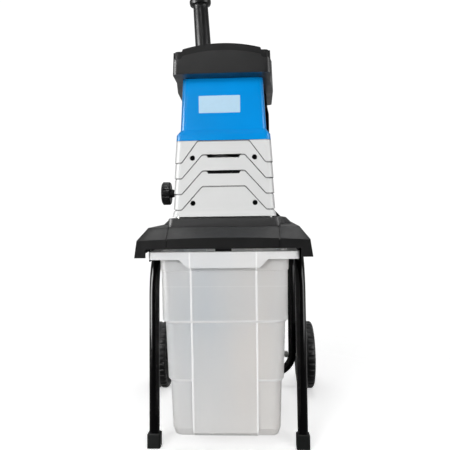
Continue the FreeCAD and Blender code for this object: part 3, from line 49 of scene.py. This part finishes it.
CAMERA_ROLL = -0.0140647
CAMERA_LENS = 42.224
CAMERA_SHIFT_X = 0.0089


def make_camera():
    data = bpy.data.cameras.new("camera")
    data.sensor_width = 36.0
    data.lens = CAMERA_LENS
    data.shift_x = CAMERA_SHIFT_X
    data.clip_end = 60.0
    camera = bpy.data.objects.new("camera", data)
    bpy.context.scene.collection.objects.link(camera)
    ahead = Vector((-math.sin(CAMERA_YAW) * math.cos(CAMERA_PITCH),
                    math.cos(CAMERA_YAW) * math.cos(CAMERA_PITCH), math.sin(CAMERA_PITCH)))
    level = Vector((math.cos(CAMERA_YAW), math.sin(CAMERA_YAW), 0.0))
    up = level.cross(ahead)
    right = level * math.cos(CAMERA_ROLL) + up * math.sin(CAMERA_ROLL)
    above = up * math.cos(CAMERA_ROLL) - level * math.sin(CAMERA_ROLL)
    turn = Matrix((right, above, -ahead)).transposed().to_4x4()
    camera.matrix_world = Matrix.Translation(CAMERA_PLACE) @ turn
    bpy.context.scene.camera = camera


make_camera()


# ---- material helpers ---------------------------------------------------------------------
class Shader:
    """A new material with a Principled shader and short calls for its nodes."""

    def __init__(self, name):
        self.material = bpy.data.materials.new(name)
        self.material.use_nodes = True
        self.tree = self.material.node_tree
        self.tree.nodes.clear()
        self.out = self.node("ShaderNodeOutputMaterial")
        self.bsdf = self.node("ShaderNodeBsdfPrincipled")
        self.link(self.bsdf, "BSDF", self.out, "Surface")
        self.place = self.node("ShaderNodeTexCoord")

    def node(self, kind):
        return self.tree.nodes.new(kind)

    def link(self, source, output, target, entry):
        self.tree.links.new(source.outputs[output], target.inputs[entry])

    def stretched(self, scale):
        """Object coordinates, squeezed by a different factor along each axis."""
        mapping = self.node("ShaderNodeMapping")
        mapping.inputs["Scale"].default_value = scale
        self.link(self.place, "Object", mapping, "Vector")
        return mapping

    def noise(self, scale, detail=3.0, rough=0.55, stretch=None):
        noise = self.node("ShaderNodeTexNoise")
        noise.inputs["Scale"].default_value = scale
        noise.inputs["Detail"].default_value = detail
        noise.inputs["Roughness"].default_value = rough
        if stretch is None:
            self.link(self.place, "Object", noise, "Vector")
        else:
            self.link(self.stretched(stretch), "Vector", noise, "Vector")
        return noise

    def spread(self, source, output, low_in, high_in, low_out, high_out):
        spread = self.node("ShaderNodeMapRange")
        spread.inputs["From Min"].default_value = low_in
        spread.inputs["From Max"].default_value = high_in
        spread.inputs["To Min"].default_value = low_out
        spread.inputs["To Max"].default_value = high_out
        self.link(source, output, spread, "Value")
        return spread

    def times(self, first, first_out, second, second_out):
        times = self.node("ShaderNodeMath")
        times.operation = "MULTIPLY"
        self.link(first, first_out, times, 0)
        self.link(second, second_out, times, 1)
        return times

    def mix(self, low_color, high_color, factor, factor_out):
        """Colour mixed between two colours, or between a node's colour and a colour."""
        mix = self.node("ShaderNodeMix")
        mix.data_type = "RGBA"
        self.tree.links.new(factor.outputs[factor_out], mix.inputs[0])
        for entry, value in ((6, low_color), (7, high_color)):
            if isinstance(value, tuple):
                mix.inputs[entry].default_value = (*value, 1.0)
            else:
                self.tree.links.new(value.outputs[2], mix.inputs[entry])
        return mix

    def axes(self):
        """Object coordinates split into X, Y and Z."""
        split = self.node("ShaderNodeSeparateXYZ")
        self.link(self.place, "Object", split, "Vector")
        return split

    def line(self, split, axis, centre, half, soft):
        """1 within `half` of a plane across one axis, falling to 0 over `soft`."""
        away = self.node("ShaderNodeMath")
        away.operation = "SUBTRACT"
        self.link(split, axis, away, 0)
        away.inputs[1].default_value = centre
        size = self.node("ShaderNodeMath")
        size.operation = "ABSOLUTE"
        self.link(away, "Value", size, 0)
        return self.spread(size, "Value", half, half + soft, 1.0, 0.0)

    def most(self, first, second):
        """The larger of two masks."""
        most = self.node("ShaderNodeMath")
        most.operation = "MAXIMUM"
        self.link(first, 0, most, 0)
        self.link(second, 0, most, 1)
        return most

    def edges(self, radius, low=0.78, high=0.95):
        """1 along sharp edges and 0 on open faces."""
        bevel = self.node("ShaderNodeBevel")
        bevel.samples = 4
        bevel.inputs["Radius"].default_value = radius
        geometry = self.node("ShaderNodeNewGeometry")
        dot = self.node("ShaderNodeVectorMath")
        dot.operation = "DOT_PRODUCT"
        self.link(bevel, "Normal", dot, 0)
        self.link(geometry, "Normal", dot, 1)
        return self.spread(dot, "Value", high, low, 0.0, 1.0)

    def crevices(self, distance, low=0.35, high=0.95):
        """1 deep in narrow grooves and 0 on open faces."""
        hidden = self.node("ShaderNodeAmbientOcclusion")
        hidden.samples = 8
        hidden.inputs["Distance"].default_value = distance
        return self.spread(hidden, "AO", low, high, 1.0, 0.0)

    def bump(self, height, output, strength, distance, under=None):
        bump = self.node("ShaderNodeBump")
        bump.inputs["Strength"].default_value = strength
        bump.inputs["Distance"].default_value = distance
        self.link(height, output, bump, "Height")
        if under is not None:
            self.link(under, "Normal", bump, "Normal")
        return bump

    def set(self, **values):
        for key, value in values.items():
            self.bsdf.inputs[key.replace("_", " ")].default_value = value


def tinted(color, factor):
    return tuple(min(1.0, part * factor) for part in color)


def moulded(name, color, rough, grain, grain_depth, mottle=0.10, wear=0.35, worn=None, spec=0.5,
            groove_shade=None, uneven=0.07):
    """Moulded plastic: cloudy colour, fine grain, uneven gloss, worn lighter edges, and painted shade
    darkening its grooves if a shade colour is given.
    """
    s = Shader(name)
    cloud = s.spread(s.noise(9.0, 4.0), "Fac", 0.3, 0.7, 0.0, 1.0)
    cloudy = s.mix(tinted(color, 1.0 - mottle), tinted(color, 1.0 + mottle), cloud, "Result")
    edge = s.edges(0.0016)
    patches = s.spread(s.noise(55.0, 3.0), "Fac", 0.40, 0.72, 0.0, wear)
    rubbed_and_shaded = s.mix(cloudy, worn or tinted(color, 2.2), s.times(edge, "Result", patches, "Result"), "Value")
    # painted shade: grooves and creases are darkened towards the given colour where ambient occlusion finds
    # them hidden
    if groove_shade is not None:
        rubbed_and_shaded = s.mix(rubbed_and_shaded, groove_shade, s.crevices(0.004), "Result")
    s.tree.links.new(rubbed_and_shaded.outputs[2], s.bsdf.inputs["Base Color"])
    gloss = s.spread(s.noise(38.0, 5.0), "Fac", 0.25, 0.75, rough - uneven, rough + uneven)
    s.link(gloss, "Result", s.bsdf, "Roughness")
    fine = s.bump(s.noise(grain, 2.0, 0.7), "Fac", 0.55, grain_depth)
    wavy = s.bump(s.noise(16.0, 1.0), "Fac", 0.08, 0.0012, fine)
    s.link(wavy, "Normal", s.bsdf, "Normal")
    s.set(Specular_IOR_Level=spec)
    return s.material


def metal(name, color, rough, stretch, streaks=0.25, spots=0.0):
    """Bare metal with drawn or turned marks and faint spots."""
    s = Shader(name)
    lines = s.noise(260.0, 4.0, 0.6, stretch)
    tone = s.mix(tinted(color, 1.0 - streaks), tinted(color, 1.0 + streaks), lines, "Fac")
    stains = s.spread(s.noise(70.0, 5.0), "Fac", 0.58, 0.75, 0.0, spots)
    stained = s.mix(tone, tinted(color, 0.35), stains, "Result")
    s.tree.links.new(stained.outputs[2], s.bsdf.inputs["Base Color"])
    s.link(s.spread(lines, "Fac", 0.3, 0.7, rough - 0.08, rough + 0.12), "Result", s.bsdf, "Roughness")
    s.link(s.bump(lines, "Fac", 0.25, 0.0001), "Normal", s.bsdf, "Normal")
    s.set(Metallic=1.0)
    return s.material


def powder_coat(name):
    """Gloss black powder coat with a light orange-peel skin."""
    s = Shader(name)
    cloud = s.noise(12.0, 3.0)
    base = s.mix((0.0016, 0.0016, 0.0018), (0.0030, 0.0029, 0.0030), cloud, "Fac")
    dust = s.spread(s.noise(240.0, 2.0, 0.8), "Fac", 0.66, 0.80, 0.0, 0.10)
    dusty = s.mix(base, (0.05, 0.05, 0.05), dust, "Result")
    s.tree.links.new(dusty.outputs[2], s.bsdf.inputs["Base Color"])
    s.link(s.spread(s.noise(60.0, 3.0), "Fac", 0.3, 0.7, 0.12, 0.20), "Result", s.bsdf, "Roughness")
    s.link(s.bump(s.noise(420.0, 2.0), "Fac", 0.12, 0.0002), "Normal", s.bsdf, "Normal")
    s.set(Specular_IOR_Level=0.30)
    return s.material


def milky(name, beads, steps, rim_z, lip_z, lip_y, line_z):
    """Translucent polypropylene, cloudy, with painted light: its edges, beads, steps, one faint line, the
    rim and the lip are painted lighter, less clear and faintly glowing.
    """
    s = Shader(name)
    flow = s.spread(s.noise(5.0, 3.0, 0.5, (1.0, 1.0, 0.35)), "Fac", 0.36, 0.64, 0.0, 1.0)
    tone = s.mix((0.72, 0.755, 0.785), (0.845, 0.82, 0.795), flow, "Result")
    haze = s.spread(s.noise(26.0, 5.0, 0.6, (1.0, 1.0, 0.3)), "Fac", 0.35, 0.75, 0.0, 0.25)
    hazy = s.mix(tone, (0.84, 0.85, 0.86), haze, "Result")
    split = s.axes()
    high, low = PALE_FOOT_Z
    hazy = s.mix(hazy, (0.97, 0.95, 0.93), s.spread(split, "Z", high, low, 0.0, 0.70), "Result")
    # Painted highlights and glow: edges, beads, steps, one line, the rim and the lip are painted lighter,
    # made less clear and given a faint glow, standing in for the light they catch and let through.
    painted_glow = s.edges(0.0016, 0.86, 0.995)
    for x in beads:
        painted_glow = s.most(painted_glow, s.line(split, "X", x, 0.0008, 0.0010))
    upper, lower = steps
    painted_glow = s.most(painted_glow, s.line(split, "Z", upper, 0.0016, 0.0018))
    beside = s.line(split, "X", sum(beads) / 2.0, (beads[1] - beads[0]) / 2.0, 0.001)
    outside = s.spread(beside, "Result", 0.0, 1.0, 1.0, 0.0)
    painted_glow = s.most(painted_glow, s.times(s.line(split, "Z", lower, 0.0016, 0.0018), "Result", outside, "Result"))
    faint = s.line(split, "Z", line_z, 0.0006, 0.0010)
    painted_glow = s.most(painted_glow, s.spread(faint, "Result", 0.0, 1.0, 0.0, 0.22))
    painted_glow = s.most(painted_glow, s.spread(split, "Z", rim_z - 0.0008, rim_z, 0.0, 0.40))
    lip = s.times(s.spread(split, "Z", lip_z - 0.0008, lip_z, 0.0, 1.0), "Result",
                  s.spread(split, "Y", lip_y, lip_y + 0.001, 0.36, 0.0), "Result")
    painted_glow = s.most(painted_glow, lip)
    painted_highlights = s.mix(hazy, (0.98, 0.98, 0.98), painted_glow, 0)
    s.tree.links.new(painted_highlights.outputs[2], s.bsdf.inputs["Base Color"])
    # painted glow: where this mask is high the plastic lets less light through and emits a little light of
    # its own
    s.link(s.spread(painted_glow, 0, 0.0, 1.0, 0.50, 0.16), "Result", s.bsdf, "Transmission Weight")
    s.link(s.spread(painted_glow, 0, 0.0, 1.0, 0.0, 0.07), "Result", s.bsdf, "Emission Strength")
    s.link(s.spread(s.noise(30.0, 4.0), "Fac", 0.3, 0.7, 0.30, 0.44), "Result", s.bsdf, "Roughness")
    fine = s.bump(s.noise(900.0, 2.0), "Fac", 0.25, 0.00008)
    s.link(s.bump(s.noise(14.0, 2.0), "Fac", 0.12, 0.0015, fine), "Normal", s.bsdf, "Normal")
    s.set(IOR=1.35, Specular_IOR_Level=0.5, Emission_Color=(1.0, 1.0, 1.0, 1.0))
    return s.material


def film(name, color):
    """Printed plastic film with a faint woven sheen."""
    s = Shader(name)
    tone = s.mix(tinted(color, 0.96), tinted(color, 1.04), s.noise(120.0, 3.0), "Fac")
    s.tree.links.new(tone.outputs[2], s.bsdf.inputs["Base Color"])
    s.link(s.spread(s.noise(90.0, 3.0), "Fac", 0.3, 0.7, 0.28, 0.40), "Result", s.bsdf, "Roughness")
    s.link(s.bump(s.noise(1500.0, 1.0), "Fac", 0.1, 0.00005), "Normal", s.bsdf, "Normal")
    return s.material


def laminated(name):
    """Stack of thin varnished sheets, seen edge on along Y."""
    s = Shader(name)
    waves = s.node("ShaderNodeTexWave")
    waves.bands_direction = "Y"
    waves.inputs["Scale"].default_value = 320.0
    waves.inputs["Distortion"].default_value = 0.4
    s.link(s.place, "Object", waves, "Vector")
    tone = s.mix((0.12, 0.10, 0.09), (0.30, 0.29, 0.29), waves, "Fac")
    s.tree.links.new(tone.outputs[2], s.bsdf.inputs["Base Color"])
    s.link(s.spread(s.noise(50.0), "Fac", 0.3, 0.7, 0.35, 0.55), "Result", s.bsdf, "Roughness")
    s.link(s.bump(waves, "Fac", 0.4, 0.0002), "Normal", s.bsdf, "Normal")
    s.set(Metallic=0.8)
    return s.material


# ---- materials ----------------------------------------------------------------------------
PALE_FOOT_Z = (0.30, 0.06)     # the catch box turns paler between these heights
BEADS_X = (-0.0705, 0.0680)    # raised beads down its ends
STEPS_Z = (0.3085, 0.1805)     # steps round its walls
RIM_Z = 0.4430                 # lowest edge of its turned-down rim
LIP_Z = 0.4255                 # lowest edge of the pull lip
LIP_Y = -0.3095                # the lip is in front of this
LINE_Z = 0.3840                # a faint line round its walls, painted lighter and faintly glowing
BLACK = (0.0085, 0.0086, 0.0090)
PAINT = powder_coat("frame_powder_coat")
TRAY = moulded("tray_textured", (0.0080, 0.0080, 0.0082), 0.42, 650.0, 0.00035, spec=0.42)
# the plinth's black plastic is painted lighter than the tray's, a painted reflection standing in for the
# sheen on its upright front
PLINTH_PAINTED_SHEEN = moulded("plinth_painted_sheen", (0.0360, 0.0360, 0.0365), 0.40, 650.0, 0.00030, spec=0.45)
HOOD = moulded("hood_textured", (0.0135, 0.0135, 0.0137), 0.36, 600.0, 0.00030, spec=0.42)
SMOOTH = moulded("smooth_black", BLACK, 0.32, 900.0, 0.00008, spec=0.36)
DULL = moulded("dull_black", (0.006, 0.006, 0.0062), 0.5, 700.0, 0.0002, spec=0.25)
WHEEL = moulded("wheel_plastic", (0.0070, 0.0072, 0.0074), 0.40, 700.0, 0.0002, spec=0.5)
RUBBER = moulded("foot_rubber", (0.0062, 0.0072, 0.0067), 0.60, 800.0, 0.0003, spec=0.35)
# the silver cover gets painted shade, dark grey deep in its fold grooves
SILVER = moulded("silver_cover", (0.68, 0.685, 0.68), 0.42, 800.0, 0.0001, mottle=0.025, wear=0.2,
                 worn=(0.75, 0.75, 0.75), groove_shade=(0.10, 0.10, 0.10))
BLUE = moulded("blue_cover", (0.0, 0.272, 0.73), 0.22, 900.0, 0.00005, mottle=0.05, wear=0.0, spec=0.30,
               uneven=0.02)
LABEL = film("label_film", (0.47, 0.68, 0.84))
CLEAR = milky("milky_polypropylene", BEADS_X, STEPS_Z, RIM_Z, LIP_Z, LIP_Y, LINE_Z)
ZINC = metal("zinc_plate", (0.62, 0.62, 0.60), 0.34, (1.0, 6.0, 1.0), 0.10, 0.15)
STEEL = metal("ground_steel", (0.46, 0.46, 0.47), 0.28, (1.0, 14.0, 1.0), 0.16, 0.10)
CAST = metal("cast_alloy", (0.55, 0.55, 0.56), 0.55, (1.0, 1.0, 1.0), 0.14, 0.20)
STACK = laminated("stator_stack")
RED = moulded("red_button", (0.55, 0.012, 0.010), 0.30, 900.0, 0.00005)
GREEN = moulded("green_button", (0.012, 0.26, 0.045), 0.30, 900.0, 0.00005)

LOOKS = {
    PAINT: ("side_tube_right", "side_tube_left", "rear_axle_tube", "transport_handle"),
    TRAY: ("base_tray",),
    PLINTH_PAINTED_SHEEN: ("motor_plinth",),
    HOOD: ("hopper_hood",),
    DULL: ("hopper_liner", "rear_housing", "box_rail_right", "box_rail_left", "interlock_switch",
           "box_latch"),
    SMOOTH: ("pusher", "adjust_knob", "control_box", "power_inlet", "discharge_chute", "cooling_fan",
             "direction_switch", "reset_button", "run_capacitor", "hub_spacers"),
    WHEEL: ("wheel_right", "wheel_left", "hub_cap_right", "hub_cap_left"),
    RUBBER: ("foot_cap_right", "foot_cap_left"),
    SILVER: ("motor_cover",),
    BLUE: ("upper_cover",),
    LABEL: ("label_plate",),
    CLEAR: ("collection_box",),
    ZINC: ("axle_bolts", "axle_nuts", "frame_screws", "mounting_plate", "bearing_cover"),
    STEEL: ("cutting_drum", "drum_shaft", "drum_gear", "idler_shaft", "idler_gear", "motor_shaft",
            "drum_bearings", "idler_bearings", "motor_bearings", "adjust_spindle", "rotor_core"),
    CAST: ("chamber_housing", "gear_case", "pressure_plate", "motor_bell_front", "motor_bell_rear"),
    STACK: ("motor_stator",),
    RED: ("stop_button",),
    GREEN: ("start_button",),
}
BLACK_SCREW = metal("blackened_screw", (0.05, 0.05, 0.052), 0.38, (1.0, 1.0, 1.0), 0.2, 0.1)
LOOKS[BLACK_SCREW] = ("cover_screws", "hopper_screws")


def dress(node, material):
    slots = NODES[node].material_slots
    if not slots:
        NODES[node].data.materials.append(material)
    for slot in NODES[node].material_slots:
        slot.link = "OBJECT"
        slot.material = material


def soften(node, width, segments=2):
    """Small rounded edge on a carried-over piece, so that its edges catch the light."""
    weld = NODES[node].modifiers.new("joined", "WELD")
    weld.merge_threshold = 0.00001
    bevel = NODES[node].modifiers.new("edge", "BEVEL")
    bevel.width = width
    bevel.segments = segments
    bevel.limit_method = "ANGLE"
    bevel.angle_limit = math.radians(32.0)
    bevel.use_clamp_overlap = True


for look, members in LOOKS.items():
    for member in members:
        dress(member, look)

SOFT_EDGES = {                 # radius of the moulded edges, metres
    0.0012: ("base_tray", "motor_plinth", "hopper_hood", "rear_housing", "foot_cap_right", "foot_cap_left"),
    0.0008: ("upper_cover", "hopper_liner", "adjust_knob", "control_box", "pusher", "hub_cap_right",
             "hub_cap_left"),
    0.0004: ("direction_switch", "start_button", "stop_button", "reset_button", "label_plate", "box_latch",
             "axle_nuts", "bearing_cover"),
}
for radius, members in SOFT_EDGES.items():
    for member in members:
        soften(member, radius)


# ---- wheels -------------------------------------------------------------------------------
TREAD_BLOCKS = 34
TREAD_DEPTH = 0.0030
WHEEL_RIBS = 8
RIB_HEIGHT = 0.0045


def pulse(turn, count, width, soft):
    """1 within `width` of each of `count` evenly spaced places round a circle, in parts of the spacing."""
    away = abs((turn * count + 0.5) % 1.0 - 0.5)
    return min(1.0, max(0.0, (width / 2.0 + soft - away) / soft))


def wheel_profile(inner, outer, radius):
    """Wheel section as (x, radius, kind) points, once round; x runs outwards from the machine."""
    width = outer - inner
    web_in = inner + 0.0255
    web_out = outer - 0.0150
    return [
        (inner, 0.0062, "plain"), (inner + 0.039, 0.0062, "plain"), (inner + 0.039, 0.0172, "plain"),
        (web_out + 0.0002, 0.0180, "plain"), (web_out, 0.0300, "plain"),
        (web_out, 0.0345, "rib"), (web_out + 0.0008, 0.0560, "rib"), (web_out + 0.0016, 0.0770, "rib"),
        (web_out + 0.0030, 0.0805, "plain"), (outer - 0.0018, 0.0868, "plain"),
        (outer - 0.0004, 0.0884, "plain"),
        (outer, 0.0900, "plain"), (outer - 0.0006, 0.0930, "side"), (outer - 0.0030, 0.0972, "side"),
        (outer - 0.0075, radius, "tread"), (outer - 0.40 * width, radius, "tread"),
        (outer - 0.42 * width, radius - TREAD_DEPTH, "plain"),
        (outer - 0.58 * width, radius - TREAD_DEPTH, "plain"),
        (outer - 0.60 * width, radius, "tread"), (inner + 0.0075, radius, "tread"),
        (inner + 0.0030, 0.0972, "side"), (inner + 0.0006, 0.0930, "side"), (inner, 0.0900, "plain"),
        (inner + 0.0015, 0.0875, "plain"), (web_in, 0.0825, "plain"), (web_in + 0.0010, 0.0700, "rib_in"),
        (web_in + 0.0010, 0.0300, "rib_in"), (web_in, 0.0245, "plain"), (inner, 0.0170, "plain"),
    ]


def build_wheel(name, node, body, side):
    """Moulded wheel with tread blocks, a centre groove, a dished web and stiffening ribs."""
    low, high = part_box(node)
    centre_y = (low[1] + high[1]) / 2.0
    centre_z = (low[2] + high[2]) / 2.0
    radius = (high[2] - low[2]) / 2.0
    inner = min(abs(low[0]), abs(high[0]))
    outer = max(abs(low[0]), abs(high[0]))
    profile = wheel_profile(inner, outer, radius)
    steps = TREAD_BLOCKS * 8
    points = []
    for step in range(steps):
        turn = step / steps
        angle = 2.0 * math.pi * turn
        gap = pulse(turn, TREAD_BLOCKS, 0.24, 0.13)
        rib = pulse(turn, WHEEL_RIBS, 0.10, 0.04)
        for x, r, kind in profile:
            if kind == "tread":
                r -= TREAD_DEPTH * gap
            if kind == "side":
                r -= 0.55 * TREAD_DEPTH * gap
            if kind == "rib":
                x += RIB_HEIGHT * rib
            if kind == "rib_in":
                x -= RIB_HEIGHT * rib
            points.append((side * x, centre_y + r * math.cos(angle), centre_z + r * math.sin(angle)))
    count = len(profile)
    faces = []
    for step in range(steps):
        here = step * count
        there = ((step + 1) % steps) * count
        for index in range(count):
            following = (index + 1) % count
            face = (here + index, here + following, there + following, there + index)
            if side < 0:
                face = face[::-1]
            faces.append(face)
    mesh = bpy.data.meshes.new(name)
    mesh.from_pydata(points, [], faces)
    mesh.materials.append(WHEEL)
    mesh.validate()
    wheel = bpy.data.objects.new(name, mesh)
    bpy.context.scene.collection.objects.link(wheel)
    for polygon in mesh.polygons:
        polygon.use_smooth = True
    bevel = wheel.modifiers.new("edge", "BEVEL")
    bevel.width = 0.0005
    bevel.segments = 2
    bevel.limit_method = "ANGLE"
    bevel.angle_limit = math.radians(38.0)
    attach(wheel, body)
    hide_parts(node)


build_wheel("moulded_wheel_right", "wheel_right", "wheel_right", 1.0)
build_wheel("moulded_wheel_left", "wheel_left", "wheel_left", -1.0)


# ---- floor, light -------------------------------------------------------------------------
ROOM_FRONT = 0.04              # brightness of the room in front of and behind the machine
ROOM_BACK = 0.40
FLOOR_RADIUS = 1.15
FLOOR_CLEAR_FROM = 0.50        # the floor fades into the white studio from here outwards


def make_floor():
    """Round pale floor under the object that fades out towards its edge."""
    mesh = bpy.data.meshes.new("floor")
    steps = 64
    ring = []
    for step in range(steps):
        angle = 2.0 * math.pi * step / steps
        ring.append((FLOOR_RADIUS * math.cos(angle), FLOOR_RADIUS * math.sin(angle), 0.0))
    mesh.from_pydata(ring, [], [tuple(range(steps))])
    floor = bpy.data.objects.new("floor", mesh)
    bpy.context.scene.collection.objects.link(floor)
    s = Shader("studio_floor")
    tone = s.mix((0.90, 0.90, 0.90), (0.93, 0.93, 0.93), s.noise(3.0), "Fac")
    s.tree.links.new(tone.outputs[2], s.bsdf.inputs["Base Color"])
    s.set(Roughness=0.9, Specular_IOR_Level=0.1, Emission_Color=(1.0, 1.0, 1.0, 1.0), Emission_Strength=0.50)
    distance = s.node("ShaderNodeVectorMath")
    distance.operation = "LENGTH"
    s.link(s.place, "Object", distance, 0)
    fade = s.spread(distance, "Value", FLOOR_CLEAR_FROM, FLOOR_RADIUS, 1.0, 0.0)
    s.link(fade, "Result", s.bsdf, "Alpha")
    mesh.materials.append(s.material)
    floor.visible_diffuse = False
    floor.visible_glossy = False


def area_light(name, place, target, width, height, power, lit="all"):
    """Soft light; `lit` says whether it shows in all surfaces, in the diffuse or in the glossy part only."""
    data = bpy.data.lights.new(name, "AREA")
    data.shape = "RECTANGLE"
    data.size = width
    data.size_y = height
    data.energy = power
    light = bpy.data.objects.new(name, data)
    light.location = place
    light.rotation_mode = "QUATERNION"
    light.rotation_quaternion = (Vector(target) - Vector(place)).to_track_quat("-Z", "Y")
    light.visible_glossy = lit != "diffuse"
    light.visible_diffuse = lit != "glossy"
    bpy.context.scene.collection.objects.link(light)


def make_world():
    """White studio to look at, which lights the object softly from behind and above."""
    world = bpy.data.worlds.new("studio")
    bpy.context.scene.world = world
    world.use_nodes = True
    tree = world.node_tree
    tree.nodes.clear()
    out = tree.nodes.new("ShaderNodeOutputWorld")
    seen = tree.nodes.new("ShaderNodeBackground")
    seen.inputs["Color"].default_value = (1.0, 1.0, 1.0, 1.0)
    seen.inputs["Strength"].default_value = 1.05
    room = tree.nodes.new("ShaderNodeBackground")
    room.inputs["Color"].default_value = (1.0, 1.0, 1.0, 1.0)
    place = tree.nodes.new("ShaderNodeTexCoord")
    split = tree.nodes.new("ShaderNodeSeparateXYZ")
    ramp = tree.nodes.new("ShaderNodeMapRange")
    ramp.inputs["From Min"].default_value = -0.35
    ramp.inputs["From Max"].default_value = 0.80
    ramp.inputs["To Min"].default_value = ROOM_FRONT
    ramp.inputs["To Max"].default_value = ROOM_BACK
    tree.links.new(place.outputs["Generated"], split.inputs["Vector"])
    tree.links.new(split.outputs["Y"], ramp.inputs["Value"])
    tree.links.new(ramp.outputs["Result"], room.inputs["Strength"])
    path = tree.nodes.new("ShaderNodeLightPath")
    choice = tree.nodes.new("ShaderNodeMixShader")
    tree.links.new(path.outputs["Is Camera Ray"], choice.inputs["Fac"])
    tree.links.new(room.outputs["Background"], choice.inputs[1])
    tree.links.new(seen.outputs["Background"], choice.inputs[2])
    tree.links.new(choice.outputs["Shader"], out.inputs["Surface"])


make_floor()
make_world()
area_light("key", (-1.2, -2.8, 1.15), (0.0, -0.2, 0.55), 1.3, 1.3, 60.0, "diffuse")
area_light("fill", (1.6, -2.5, 0.85), (0.0, -0.2, 0.55), 1.2, 1.2, 36.0, "diffuse")
area_light("glint", (-0.25, -1.75, 2.3), (0.0, -0.2, 0.55), 0.55, 0.55, 16.0, "glossy")
area_light("strip_left", (-1.25, -0.62, 0.80), (0.0, -0.2, 0.75), 0.75, 1.3, 48.0, "glossy")
area_light("strip_right", (1.25, -0.58, 0.80), (0.0, -0.2, 0.75), 0.75, 1.3, 15.0, "glossy")
area_light("top", (0.0, 0.1, 2.6), (0.0, 0.0, 0.5), 1.5, 1.5, 20.0)
bpy.context.scene.view_settings.view_transform = "Standard"
bpy.context.scene.view_settings.look = "None"
